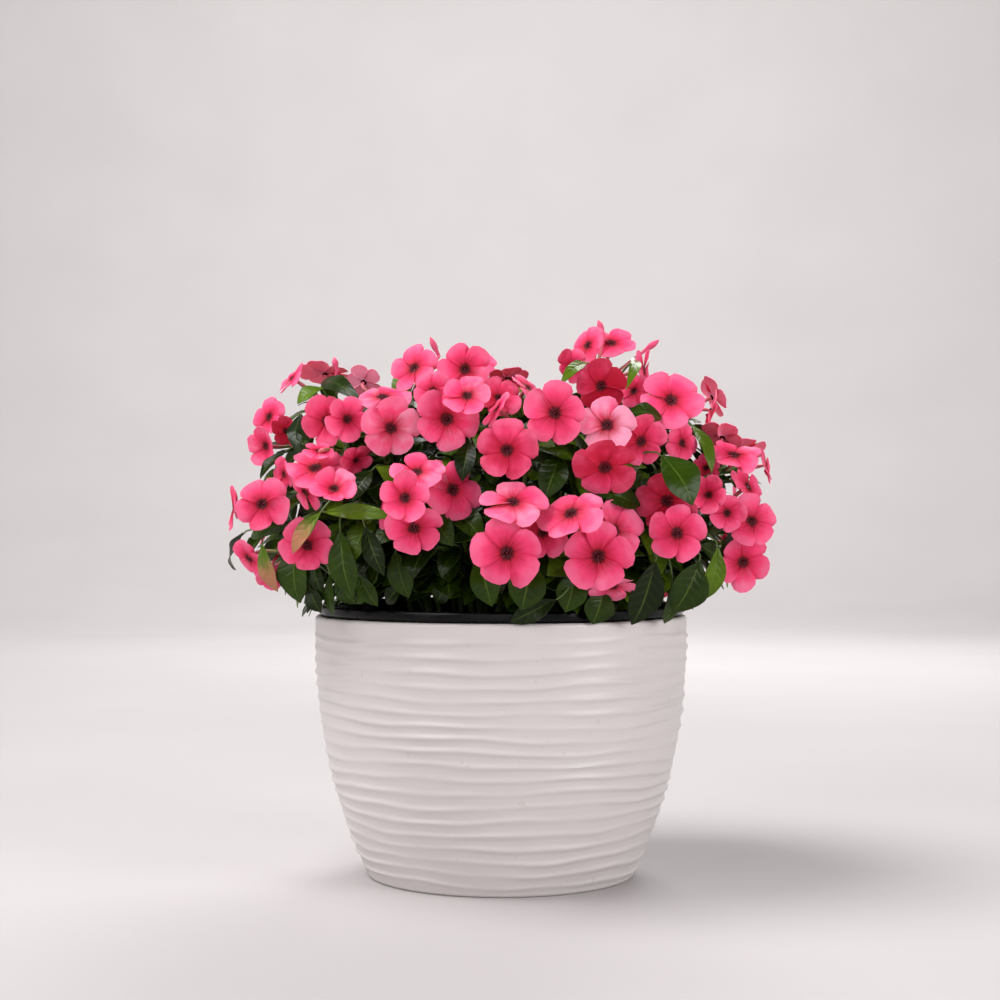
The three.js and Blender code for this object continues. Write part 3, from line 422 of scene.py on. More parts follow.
def swing(source, target):
    # the shortest turn that takes one direction to the other
    return np.array(Vector(source).rotation_difference(Vector(target)).to_matrix())


def onSightLine(px, py, y):
    # where the photograph's sight line through a pixel passes each depth y
    pitch = math.radians(photoView["pitch"])
    right = (px - photoView["middle"]) / photoView["focal"]
    rise = (photoView["middle"] - py) / photoView["focal"]
    ahead = math.cos(pitch) - rise * math.sin(pitch)
    climb = (math.sin(pitch) + rise * math.cos(pitch)) / ahead
    y = np.asarray(y, float)
    reach = y + photoView["distance"]
    return np.stack([photoView["side"] + right / ahead * reach, y, photoView["height"] + climb * reach], -1)


def crownLevel(p):
    # below 1 inside the crown's surface
    spread = np.hypot(p[..., 0] / crown["halfWidth"], p[..., 1] / crown["halfDepth"])
    high = np.hypot(spread, (p[..., 2] - crown["middle"]) / crown["rise"])
    low = np.cbrt(spread ** 3 + (np.maximum(crown["middle"] - p[..., 2], 0) / crown["drop"]) ** 3)
    return np.where(p[..., 2] > crown["middle"], high, low)


def onCrown(px, py, behind):
    depths = np.arange(crown["from"], crown["to"] + 1)
    levels = crownLevel(onSightLine(px, py, depths))
    inside = np.flatnonzero(levels < 1)
    first = inside[0] if len(inside) else np.argmin(levels)
    return onSightLine(px, py, depths[first] + behind)


def pixelSize(point):
    return (point[1] + photoView["distance"]) / photoView["focal"]


def facingOf(right, rise):
    yaw, pitch = math.radians(right), math.radians(rise)
    return np.array([math.sin(yaw) * math.cos(pitch), -math.cos(yaw) * math.cos(pitch), math.sin(pitch)])


def cornersOf(node):
    # a search tree of the node's own corners
    mesh = frame["nodes"][node].data
    corners = np.empty(len(mesh.vertices) * 3, np.float32)
    mesh.vertices.foreach_get("co", corners)
    corners = np.unique(corners.reshape(-1, 3), axis=0) / mm
    tree = KDTree(len(corners))
    for i, corner in enumerate(corners):
        tree.insert(corner, i)
    tree.balance()
    return tree


def misfit(tree, points, radius=0, count=1):
    # how far the frame's corners nearest to the points are from lying at that radius round them
    gaps = [abs(found[2] - radius) for point in points for found in tree.find_n(point, count)]
    return sum(gaps) / len(gaps)


def closest(candidates, error):
    best = min(candidates, key=error)
    worst["misfit"] = max(worst["misfit"], error(best))
    return best


worst = {"misfit": 0}
corners = {name: cornersOf(name) for name in frame["nodes"] if name.endswith(("Blooms", "Shoot"))}


def discAxes(bloom):
    # the ways to the right and up across a bloom's disc
    right = unit(np.cross(up, bloom["facing"]))
    return right, np.cross(bloom["facing"], right)


def notchesOf(bloom):
    # the five points between the petals of a bloom
    right, upward = discAxes(bloom)
    points = []
    for k in range(5):
        angle = math.radians(bloom["turn"] + petalTurn * k - petalTurn / 2)
        way = right * math.sin(angle) + upward * math.cos(angle)
        lift = bloom["facing"] * bloom["cup"] * notchReach ** 2
        points.append(bloom["eye"] + (notchReach * way + lift) * bloom["radius"])
    return points


def bloomThatFits(candidates, head):
    # the candidate whose notches lie on the frame's own corners
    return closest(candidates, lambda bloom: misfit(corners[head + "Blooms"], notchesOf(bloom)))


def frontBloom(row, head):
    px, py, size, right, rise, turn, cup, behind, light = row
    same = {"facing": facingOf(right, rise), "turn": turn, "cup": cup, "light": light}
    candidates = []
    for step in depthSteps:
        eye = onCrown(px, py, behind + step)
        candidates.append({**same, "eye": eye, "radius": size * pixelSize(eye)})
    return bloomThatFits(candidates, head)


def rearBlooms(head, first):
    azimuth, height, count = rearHeads[head]
    out = facingOf(azimuth, height)
    rise = rearCrown["rise"] if height > 0 else rearCrown["drop"]
    centre = out * (rearCrown["halfWidth"], rearCrown["halfDepth"], rise) + up * rearCrown["middle"]
    across = unit(np.cross(up, out))
    along = np.cross(out, across)
    blooms = []
    for i in range(count):
        number = first + i
        angle = (i + chance(number)) / count * 2 * math.pi
        side = across * math.sin(angle) + along * math.cos(angle)
        tilt = math.radians(rearSpread["tilt"] * drawn(0.6, 0.8, number + 200))
        behind = rearSpread["depth"] * (chance(number + 400) - 0.5)
        same = {
            "facing": out * math.cos(tilt) + side * math.sin(tilt),
            "radius": rearSpread["radius"] * drawn(0.9, 0.2, number + 600),
            "turn": petalTurn * chance(number + 800),
            "cup": rearSpread["cup"],
            "light": drawn(-0.4, 0.8, number + 900),
        }
        eye = centre + side * rearSpread["ring"] - out * behind
        candidates = [{**same, "eye": eye - out * step} for step in depthSteps]
        blooms.append(bloomThatFits(candidates, head))
    return blooms


bloomsOf = {}
bloomCount = 0
for head, rows in frontHeads.items():
    bloomsOf[head] = [frontBloom(row, head) for row in rows]
    bloomCount += len(rows)
for head in rearHeads:
    bloomsOf[head] = rearBlooms(head, bloomCount + 1)
    bloomCount += len(bloomsOf[head])
print("blooms found:", bloomCount, "misfit", round(worst["misfit"], 3))

bowReaches, bowWays = [5, 9, 14, 20, 27], 10
bows = [np.zeros(3)]    # the ways by which tubes and stems bend round their neighbours
for reach in bowReaches:
    for k in range(bowWays):
        angle = k / bowWays * 2 * math.pi
        bows.append(np.array([math.cos(angle), math.sin(angle), (k % 3 - 1) * 0.8]) * reach)


def knotOf(head):
    # the knot where a head's tubes meet, behind the middle of its blooms
    middle = np.mean([bloom["eye"] for bloom in bloomsOf[head]], axis=0)
    out = unit(middle - crownHeart)
    facing = np.mean([bloom["facing"] for bloom in bloomsOf[head]], axis=0)
    back = unit(out * knot["outwards"] + facing * knot["backwards"])
    axis = unit(out + up * stem["rise"])
    turn = swing((0, 1, 0), axis)
    ends = []
    for radius, level in ((knot["topRadius"], 0.5), (knot["bottomRadius"], -0.5)):
        for angle in (0, 2 * math.pi / 3, 4 * math.pi / 3):
            height = (level - knot["sink"]) * knot["length"]
            ends.append(turn @ (math.sin(angle) * radius, height, math.cos(angle) * radius))
    nearBows = bows[:1 + 3 * bowWays]
    centres = [middle - back * depth + shift for shift in nearBows for depth in knotDepths]
    tree = corners[head + "Blooms"]
    centre = min(centres, key=lambda place: misfit(tree, [place + end for end in ends]))
    below = (0.5 + knot["sink"]) * knot["length"] + knot["gap"]
    return {"centre": centre, "axis": axis, "foot": centre - axis * below}


knotsOf = {head: knotOf(head) for head in bloomsOf}


def bendOf(bloom, head):
    # where the bloom's tube bends to the knot
    stub = bloom["eye"] - bloom["facing"] * tube["stub"]
    bends = [stub + bow * tube["bend"] for bow in bows]
    return closest(bends, lambda bend: misfit(corners[head + "Blooms"], [bend], tube["radius"], 3))


def budRoute(row, head):
    tipX, tipY, baseX, baseY, behind = row
    tips = [onCrown(tipX, tipY, behind + step) for step in depthSteps]
    tip = closest(tips, lambda place: misfit(corners[head + "Blooms"], [place], bud["tipRadius"], 3))
    return tip, onSightLine(baseX, baseY, tip[1])


for head, blooms in bloomsOf.items():
    for bloom in blooms:
        bloom["bend"] = bendOf(bloom, head)
print("tubes found: misfit", round(worst["misfit"], 3))


def soilHeight(x, y):
    spread = np.hypot(x, y) / 120
    crumbs = np.sin(x / 7 + 1) * np.cos(y / 8) + 0.6 * np.sin((x + y) / 13)
    return soil["top"] + soil["mound"] * (1 - spread ** 2) + soil["crumb"] * crumbs


def bezier(handles, shares):
    a, b, c, d = handles
    t = np.asarray(shares, float)[:, None]
    return a * (1 - t) ** 3 + b * 3 * t * (1 - t) ** 2 + c * 3 * t ** 2 * (1 - t) + d * t ** 3


def rootPlaces(end, taken):
    places = []
    for share in stemRoots["shares"]:
        for turn in stemRoots["turns"]:
            place = np.array([end[0] * share, end[1] * share, soil["top"] - stem["root"]])
            places.append(turned(place, up, turn))
    return [
        place for place in places
        if np.hypot(*place[:2]) < stemSpace["farthest"]
        and all(np.linalg.norm(place - root) > stemSpace["spacing"] for root in taken)
    ]


def stemOf(head, parent, taken):
    axis, end = knotsOf[head]["axis"], knotsOf[head]["foot"]
    starts = [parent["stops"][k] for k in stemSpace["forks"]] if parent else rootPlaces(end, taken)
    candidates = []
    for start in starts:
        first = start.copy()
        if not parent:
            first[2] = soilHeight(*start[:2]) + stem["collar"]
        reach = np.linalg.norm(end - first)
        for bow in bows:
            leaving = first + up * reach * stem["leave"] + bow
            handles = (first, leaving, end - axis * reach * stem["arrive"] + bow, end)
            free = list(bezier(handles, np.linspace(0, 1, stem["steps"] + 1)))
            stops = free if parent else [start] + free
            candidates.append({"handles": handles, "stops": stops, "forked": bool(parent)})
    tree = corners[shootOf[head]]
    return closest(candidates, lambda found: misfit(tree, found["stops"][-4:-1], stem["radius"], 3))


stemsOf = {}
taken = []
for shoot, heads in shoots.items():
    for head in heads:
        stemsOf[head] = stemOf(head, stemsOf.get(heads[0]), taken)
    taken.append(stemsOf[heads[0]]["stops"][0])
print("stems found: misfit", round(worst["misfit"], 3))


def alongStops(stops, share):
    reach = share * (len(stops) - 1)
    first = min(int(reach), len(stops) - 2)
    point = stops[first] + (stops[first + 1] - stops[first]) * (reach - first)
    return point, unit(stops[first + 1] - stops[first])


def leafFrame(leaf):
    along = leaf["tip"] - leaf["base"]
    length = np.linalg.norm(along)
    along = along / length
    normal = unit(leaf["lift"] - along * (leaf["lift"] @ along))
    return along, np.cross(along, normal), normal, length


def leafMarks(leaf):
    # the corners of a leaf's outline that no neighbour changes: its tip and its two far shoulders
    along, side, normal, length = leafFrame(leaf)
    bow = leafBlade["arch"] * length
    half = leafBlade["narrowing"] * leaf["width"] / 2
    far = leaf["base"] + along * leafBlade["narrowsAt"] * length + normal * 0.8 * bow
    return [leaf["tip"] - normal * bow, far - side * half, far + side * half]


def placeOfLeaf(candidates, trees):
    # the candidate that the frame holds, with the name of its shoot, or None if the frame leaves it out
    best = None
    for leaf in candidates:
        marks = leafMarks(leaf)
        for shoot, tree in trees.items():
            error = misfit(tree, marks[:1], leafBlade["thickness"] / 2, 2)
            if error < leafLimit:
                error = misfit(tree, marks, leafBlade["thickness"] / 2, 2)
                if error < leafLimit and (best is None or error < best[0]):
                    best = error, shoot, leaf
    return best and {**best[2], "shoot": best[1]}


def frontLeaf(row):
    baseX, baseY, tipX, tipY, breadth, behindBase, behindTip, look = row
    span = math.hypot(tipX - baseX, tipY - baseY)
    aside = -(tipY - baseY) / span, (tipX - baseX) / span
    candidates = []
    for deeper in leafSteps["deeper"]:
        base = onCrown(baseX, baseY, behindBase + deeper)
        depth = onCrown(tipX, tipY, behindTip + deeper)[1]
        lift = unit(base - crownHeart) + frontLift
        for step in leafSteps["aside"]:
            tip = onSightLine(tipX + aside[0] * step, tipY + aside[1] * step, depth)
            for shrink in leafSteps["shrink"]:
                width = breadth * pixelSize(base) * shrink
                candidates.append({"base": base, "tip": tip, "width": width, "lift": lift, "look": look})
    return placeOfLeaf(candidates, shootCorners)


def pairedLeafAt(shoot, head, pair, share, half, number):
    root, heading = alongStops(stemsOf[head]["stops"], share)
    out = unit(root - crownHeart)
    level = unit(np.cross(up, heading))
    candidates = []
    for attempt in range(pairedLeaf["attempts"]):
        draw = number * 40 + half * 20 + attempt
        aside = (chance(draw) - 0.5) * pairedLeaf["turnSpread"] + attempt * pairedLeaf["turnStep"]
        across = turned(level, heading, (pair + 2 * half) * math.pi / 2 + aside)
        size = pairedLeaf["leastSize"] + pairedLeaf["sizeSpread"] * chance(draw + 5000)
        size *= 1 if attempt < pairedLeaf["smallFrom"] else pairedLeaf["small"]
        length = pairedLeaf["length"] * size
        way = unit(across + heading * pairedLeaf["climb"] - up * pairedLeaf["droop"])
        candidates.append({
            "base": root + way * 2 * stem["radius"],
            "tip": root + way * length - up * pairedLeaf["droop"] * length,
            "width": pairedLeaf["width"] * size,
            "lift": up + out,
            "look": "g",
        })
    return placeOfLeaf(candidates, {shoot: shootCorners[shoot]})


shootCorners = {name: tree for name, tree in corners.items() if name.endswith("Shoot")}
frameLeaves = [leaf for leaf in map(frontLeaf, frontLeaves) if leaf]
frontLeafCount = len(frameLeaves)
pairCount = 0
for shoot, heads in shoots.items():
    for head in heads:
        if head in frontHeads and head not in pairedFrontHeads:
            continue
        places = pairedLeaf["frontPlaces"] if head in frontHeads else pairedLeaf["places"]
        for pair, share in enumerate(places):
            pairCount += 1
            for half in (0, 1):
                leaf = pairedLeafAt(shoot, head, pair, share, half, pairCount)
                if leaf:
                    frameLeaves.append(leaf)
print("leaves found:", frontLeafCount, "of the front,", len(frameLeaves) - frontLeafCount, "in pairs")


# Sheets, tubes and turned bodies, each as its points, its faces and three numbers for each point

def quads(index, closed=False):
    # the faces between neighbours of a grid of point numbers
    if closed:
        index = np.concatenate([index, index[:, :1]], axis=1)
    return np.stack([index[:-1, :-1], index[1:, :-1], index[1:, 1:], index[:-1, 1:]], -1).reshape(-1, 4)


def sheetBody(grid, thickness, place):
    # a thin closed sheet round a grid of points; its front is where rows and columns turn left
    rows, columns = grid.shape[:2]
    normal = np.cross(np.gradient(grid, axis=0), np.gradient(grid, axis=1))
    normal /= np.linalg.norm(normal, axis=-1, keepdims=True)
    index = np.arange(rows * columns).reshape(rows, columns)
    below = index + index.size
    front = quads(index)
    back = quads(below)[:, ::-1]
    edge = np.concatenate([index[:-1, 0], index[-1, :-1], index[:0:-1, -1], index[0, :0:-1]])
    after = np.roll(edge, -1)
    rim = np.stack([edge, edge + index.size, after + index.size, after], -1)
    points = np.concatenate([grid + normal * thickness / 2, grid - normal * thickness / 2]).reshape(-1, 3)
    place = np.broadcast_to(place, (rows, columns, 3)).reshape(-1, 3)
    return points, np.concatenate([front, back, rim]).tolist(), np.concatenate([place, place * (1, 1, -1)])


def ringedBody(rings):
    # a closed body through rings of points that run counter-clockwise round the way ahead
    count, sides = rings.shape[:2]
    points = np.concatenate([rings.reshape(-1, 3), [rings[0].mean(axis=0), rings[-1].mean(axis=0)]])
    index = np.arange(count * sides).reshape(count, sides)
    faces = quads(index, closed=True)[:, ::-1].tolist()
    first, last = count * sides, count * sides + 1
    for k in range(sides):
        after = (k + 1) % sides
        faces.append([first, after, k])
        faces.append([last, int(index[-1, k]), int(index[-1, after])])
    share = np.concatenate([np.repeat(np.linspace(0, 1, count), sides), [0, 1]])
    return points, faces, np.stack([share, 0 * share, 0 * share + 1], -1)


def sweepBody(path, radii, sides=8, flute=0, twist=0):
    # a closed tube along a path; its five flutes wind round it by the twist
    path = np.asarray(path, float)
    count = len(path)
    radii = np.interp(np.linspace(0, 1, count), np.linspace(0, 1, len(radii)), radii)
    angles = np.arange(sides) / sides * 2 * math.pi
    heading = unit(path[1] - path[0])
    arm = unit(np.cross(heading, (0.3, 0.2, 0.9)))
    rings = []
    for i in range(count):
        after = unit(path[min(i + 1, count - 1)] - path[max(i - 1, 0)])
        arm = swing(heading, after) @ arm
        heading = after
        reach = radii[i] * (1 + flute * np.cos(5 * angles + twist * i / count))
        ring = np.outer(np.cos(angles), arm) + np.outer(np.sin(angles), np.cross(heading, arm))
        rings.append(path[i] + reach[:, None] * ring)
    return ringedBody(np.array(rings))


def turnedBody(radii, heights, columns):
    # a closed body of revolution, from the middle of its foot to the middle of its top
    angles = np.arange(columns) / columns * 2 * math.pi
    radii = np.broadcast_to(radii, (len(radii), columns))
    heights = np.broadcast_to(heights, (len(heights), columns))
    return ringedBody(np.stack([radii * np.cos(angles), radii * np.sin(angles), heights], -1))


class Sheaf:
    # the sheets and tubes of one piece, which stands for one node of the frame

    def __init__(self, name, node, slot, *finishes):
        self.name, self.node, self.slot, self.finishes = name, node, slot, finishes
        self.points, self.faces, self.places, self.moods, self.kinds = [], [], [], [], []
        self.count = 0

    def add(self, body, mood=(0, 0, 0), finish=0):
        points, faces, place = body
        self.points.append(points)
        self.places.append(place)
        self.moods.append(np.broadcast_to(mood, points.shape))
        self.faces += [[k + self.count for k in face] for face in faces]
        self.kinds += [finish] * len(faces)
        self.count += len(points)

    def build(self, sharp=50):
        mesh = bpy.data.meshes.new(self.name)
        mesh.from_pydata(np.concatenate(self.points) * mm, [], self.faces)
        for name, values in (("place", self.places), ("mood", self.moods)):
            layer = mesh.attributes.new(name, "FLOAT_VECTOR", "POINT")
            layer.data.foreach_set("vector", np.concatenate(values).astype(np.float32).ravel())
        for finish in self.finishes:
            mesh.materials.append(finish.material)
        mesh.polygons.foreach_set("material_index", self.kinds)
        mesh.shade_smooth()
        mesh.set_sharp_from_angle(angle=math.radians(sharp))
        piece = bpy.data.objects.new(self.name, mesh)
        bpy.context.scene.collection.objects.link(piece)
        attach(piece, "root")
        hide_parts(self.node)
        return piece


luck = np.random.default_rng(4881)


def centred():
    # an even draw from -0.5 to 0.5
    return luck.random() - 0.5


def some(least, spread):
    # an even draw from the least up
    return least + spread * luck.random()


# Petals

anyPhase = 6.3    # times a draw, a start anywhere in a wave
petal = {
    "halfAngle": 43.5, "lean": 2, "squareness": 4.3, "roundness": 0.39, "thickness": 0.35, "rows": 12,
    "columns": 11, "foot": 0.06, "lap": 0.055, "throat": 0.04, "throatWidth": 0.1, "recurve": 0.08,
    "ruffle": 0.028, "crease": 0.03, "creaseWidth": 0.14, "bend": 0.07, "skew": 0.12, "scallop": 0.018,
    "scallops": 4.5, "tilt": 0.1, "sizeSpread": 0.13, "corners": (0.8, 0.5), "ruffles": (5, 3),
}
discWave = {"least": 0.02, "spread": 0.06}    # shares of the bloom's radius


def bloomWaves():
    # how a bloom's disc waves up and down round its eye: sizes and starts of one, two and three waves
    return discWave["least"] + discWave["spread"] * luck.random(3), 2 * math.pi * luck.random(3)


def petalBody(bloom, k, waves):
    # one petal; s runs out from the eye, t across, and every petal has its own size, outline and ruffle
    right, upward = discAxes(bloom)
    s = np.linspace(petal["foot"], 1, petal["rows"])[:, None] ** 0.9
    t = np.sin(np.linspace(1, -1, petal["columns"]) * math.pi / 2)[None, :] * 0.985
    angle = np.radians(bloom["turn"] + petalTurn * k + petal["lean"] + petal["halfAngle"] * t)
    size = 1 + petal["sizeSpread"] * centred()
    recurve, bend = 2 * luck.random(), luck.random() - 0.25
    squareness = petal["squareness"] * some(*petal["corners"])
    skew = petal["skew"] * luck.random()
    outline = (1 - np.abs(t) ** squareness) ** petal["roundness"] * (1 + skew * t)
    outline = outline * (1 + petal["scallop"] * np.sin(petal["scallops"] * t + anyPhase * luck.random()))
    r = s * outline * size
    lift = bloom["cup"] * r ** 2 - petal["lap"] * t * s + petal["tilt"] * centred() * s ** 1.5
    for times, (high, start) in enumerate(zip(*waves), 1):
        lift = lift + high * np.sin(times * angle + start) * s ** 1.4
    lift = lift - petal["bend"] * bend * t ** 2 * s - petal["recurve"] * recurve * s ** 4
    ruffles = some(*petal["ruffles"])
    lift = lift + petal["ruffle"] * np.sin(ruffles * t + anyPhase * luck.random()) * s ** 3
    lift = lift - petal["crease"] * np.exp(-(t / petal["creaseWidth"]) ** 2) * s * (1.2 - s)
    lift = lift - petal["throat"] * np.exp(-(r / petal["throatWidth"]) ** 2)
    across, rise = np.sin(angle) * r, np.cos(angle) * r
    grid = across[..., None] * right + rise[..., None] * upward + lift[..., None] * bloom["facing"]
    place = np.stack([r + 0 * t, t + 0 * r, np.ones_like(r)], -1)
    return sheetBody(bloom["eye"] + grid * bloom["radius"], petal["thickness"], place)


throat = {
    "sides": 10,
    # radius and height over the eye, from the bottom of the tube's mouth out over its rim and under again
    "profile": [
        (0.15, -1.4), (0.3, -0.7), (0.55, -0.45), (0.85, -0.75), (2.0, -0.95), (1.8, -1.3), (0.3, -2.4),
    ],
}


def throatBody(bloom):
    # the sunk middle of a bloom, with the tube's mouth
    right, upward = discAxes(bloom)
    angles = np.radians(np.arange(throat["sides"]) * (360 // throat["sides"]))
    ring = np.outer(np.sin(angles), right) + np.outer(np.cos(angles), upward)
    return ringedBody(np.array([
        bloom["eye"] + ring * radius + bloom["facing"] * lift for radius, lift in throat["profile"]
    ]))


# Stalks, knots and buds

flowerTube = {
    "radii": [1.0, 1.35, 1.45, 1.3, 1.05, 0.8, 0.75], "steps": 14, "depth": 1.8, "calyxAt": 0.8, "sepal": 5.5,
    "sepalRadii": [0.55, 0.5, 0.12],
}
knotForm = {"from": -4.4, "to": 3.0, "radii": [1.5, 2.2, 3.1, 3.4, 2.9, 1.9, 0.8]}
budForm = {"radii": [0.25, 0.9, 1.5, 1.9, 2.15, 2.2, 2.05, 1.8, 1.5, 1.3, 1.2, 1.15, 1.1, 1.05] + [1] * 5}


def tubePath(bloom, centre):
    start = bloom["eye"] - bloom["facing"] * flowerTube["depth"]
    handles = (start, start * 0.15 + bloom["bend"] * 0.85, bloom["bend"] * 0.85 + centre * 0.15, centre)
    return bezier(handles, np.linspace(0, 1, flowerTube["steps"]))


def sepalBodies(path):
    # five thin green points that stand round the tube's foot
    at = int(flowerTube["calyxAt"] * (len(path) - 1))
    foot, heading = path[at], unit(path[at - 1] - path[at])
    arm = unit(np.cross(heading, (0.2, 0.9, 0.1)))
    bodies = []
    for k in range(5):
        out = turned(arm, heading, k / 5 * 2 * math.pi + luck.random() * 0.3)
        tip = foot + out * 2.4 + heading * flowerTube["sepal"] * some(0.8, 0.4)
        route = [foot + out * 0.5, foot + out * 1.5 + heading * 1.8, tip]
        bodies.append(sweepBody(route, flowerTube["sepalRadii"], 4))
    return bodies


def knotBody(found):
    reach = np.linspace(knotForm["from"], knotForm["to"], len(knotForm["radii"]))
    return sweepBody([found["centre"] + found["axis"] * step for step in reach], knotForm["radii"], 10)


def budBody(tip, base, centre):
    # a slender bud, wound like a furled umbrella, on its stalk
    path = list(np.linspace(tip, base, 12)) + list(np.linspace(base, centre, 8)[1:])
    return sweepBody(path, budForm["radii"], 15, flute=0.1, twist=5)


# Leaves

leafWidths = {    # by the share of the leaf's length
    0: 0.1, 0.05: 0.24, 0.15: 0.54, 0.3: 0.88, 0.45: 1.05, 0.58: 1.06, 0.7: 0.93, 0.8: 0.72, 0.9: 0.42,
    0.96: 0.17, 1: 0.03,
}
blade = {
    "thickness": 0.45, "wave": 0.018, "waves": (9, 4), "groove": 0.5, "grooveWidth": 0.1, "foldTo": 0.76,
    "stalk": [1.1, 0.95, 0.8, 0.7, 0.5],
}


def leafBody(leaf, rows, columns):
    # a blade folded along its midrib and arched, with a waved margin
    along, side, normal, length = leafFrame(leaf)
    s = np.linspace(0, 1, rows)[:, None]
    t = np.linspace(1, -1, columns)[None, :]
    half = np.interp(s, list(leafWidths), list(leafWidths.values())) * leaf["width"] / 2
    arch = leafBlade["arch"] * length * (2.383 * s + 3.129 * s ** 2 - 6.512 * s ** 3)
    folding = np.sin(math.pi * np.minimum(s / blade["foldTo"], 1))
    fold = leafBlade["fold"] * leaf["width"] * folding * np.abs(t) ** 1.4
    phase, pace = luck.random(2) * anyPhase, some(*blade["waves"])
    wave = blade["wave"] * length * np.sin(pace * s + np.where(t > 0, *phase)) * np.abs(t) ** 2.5
    groove = blade["groove"] * np.exp(-(t / blade["grooveWidth"]) ** 2) * (1 - s)
    twist = leaf.get("twist", 0)
    lift = arch + fold + wave * np.sin(math.pi * s) - groove + twist * s * t * half
    across = t * half * (1 - 0.1 * abs(twist) * s)
    grid = leaf["base"] + s[..., None] * along * length + across[..., None] * side + lift[..., None] * normal
    place = np.stack([s + 0 * t, t + 0 * s, 1 + 0 * s * t], -1)
    return sheetBody(grid, blade["thickness"], place)


def leafStalk(root, leaf, sides=6):
    along = leafFrame(leaf)[0]
    reach = np.linalg.norm(leaf["base"] - root)
    inside = leaf["base"] + along * 0.06 * np.linalg.norm(leaf["tip"] - leaf["base"])
    handles = (root, root + (leaf["base"] - root) * 0.4, leaf["base"] - along * 0.3 * reach, inside)
    return sweepBody(bezier(handles, np.linspace(0, 1, 7)), blade["stalk"], sides)


# Finishes

def tone(*screen):
    # the light that a colour of the screen, its red, green and blue from 0 to 255, sends back
    return tuple(((c / 255 + 0.055) / 1.055) ** 2.4 if c > 10 else c / 255 / 12.92 for c in screen)


petalLook = {
    "main": tone(255, 70, 128), "deep": tone(182, 6, 40), "pale": tone(255, 172, 204),
    "rim": tone(255, 116, 162), "eye": tone(38, 3, 14), "back": tone(255, 136, 170),
    "through": tone(255, 100, 140), "glow": 0.24, "veinDepth": 0.35,
}


def petalFinish():
    # place holds the reach from the eye, the way across and the side; mood the lightness, a draw for each
    # petal that paints its own shade lighter or deeper, and one more draw
    finish = Finish("petal", roughness=0.6, specularIorLevel=0.25)
    r, t, side = finish.parts("place")
    light, shade, luck = finish.parts("mood")
    streaks = finish.noise(finish.vector(t * 6, r * 1.6, luck * 40), 1, 3) - 0.5
    clouds = finish.noise(finish.vector(t * 1.4, r * 2.2, luck * 40), 1, 2) - 0.5
    colour = finish.mix(finish.between(r + clouds * 0.5, 0.5, 1.05), petalLook["main"], petalLook["rim"])
    # painted shade: a low lightness deepens the pink of blooms that sit in shade, and each petal's own draw
    # paints it lighter or deeper, as its own light and shade would
    toneAndPaintedShade = light + clouds + shade * 0.5 - 0.25
    colour = finish.mix(finish.between(toneAndPaintedShade, 0.1, 1.1), colour, petalLook["pale"])
    colour = finish.mix(finish.between(toneAndPaintedShade, 0, -1.1, 0, 0.9), colour, petalLook["deep"])
    halo = finish.between(r + streaks * 0.35, 0.15, 0.68, 0.95, 0)
    colour = finish.mix(halo, colour, petalLook["deep"])
    # painted shade: the side of each petal that lies under its neighbour is deepened
    paintedLapShade = finish.between(t, 0.45, 1, 0, 0.35) + finish.between(t, -0.8, -1, 0, 0.15)
    colour = finish.mix(paintedLapShade, colour, petalLook["deep"])
    # the backs of blooms with a light pink turn paler: partly their real fading, partly painted light that
    # shines through the petals
    under = finish.mix(finish.between(light, 0.3, 1), petalLook["back"], petalLook["pale"])
    colour = finish.mix(finish.between(side, -0.5, -0.9), colour, under)
    eye = finish.between(r + streaks * 0.24, 0.15, 0.27, 1, 0)
    colour = finish.mix(eye * finish.between(side, -0.9, -0.5), colour, petalLook["eye"])
    veins = finish.noise(finish.vector(t * 16, r * 2, luck * 40), 1, 2)
    relief = finish.bump(veins, petalLook["veinDepth"] * mm, 0.6)
    finish.set(finish.surface, {"Base Color": colour, "Normal": relief})
    finish.glow(petalLook["through"], petalLook["glow"])
    return finish


stalkLook = {
    "pink": tone(206, 100, 112), "green": tone(110, 136, 58), "mouth": tone(150, 62, 70),
    "bud": tone(226, 74, 118),
}


def stalkFinish():
    # a bloom's tube, pink at its mouth and green at its foot, or a bud on its stalk
    finish = Finish("bloom_stalk", roughness=0.5)
    along, _, _ = finish.parts("place")
    grain = finish.noise(finish.object(), 300, 2) - 0.5
    bud, _, _ = finish.parts("mood")
    furled = finish.mix(finish.between(along, 0.6, 0.95), stalkLook["bud"], stalkLook["green"])
    colour = finish.mix(finish.between(along + grain * 0.2, 0.3, 0.75), stalkLook["pink"], stalkLook["green"])
    finish.set(finish.surface, {"Base Color": finish.mix(bud, colour, furled)})
    return finish


def starFinish():
    # the sunk eye, with the reddish rim of the tube's mouth
    finish = Finish("bloom_star", roughness=0.9, specularIorLevel=0)
    along, _, _ = finish.parts("place")
    rim = finish.between(along, 0.08, 0.16) * finish.between(along, 0.3, 0.4, 1, 0)
    finish.set(finish.surface, {"Base Color": finish.mix(rim, petalLook["eye"], stalkLook["mouth"])})
    return finish


leafLook = {
    "green": tone(46, 68, 5), "young": tone(108, 140, 26), "bronze": tone(186, 122, 96),
    "dark": tone(18, 30, 2), "midrib": tone(116, 140, 54), "vein": tone(62, 92, 24),
    "under": tone(60, 86, 30), "through": tone(110, 150, 20), "glow": 0.12, "veinDepth": 0.5,
}


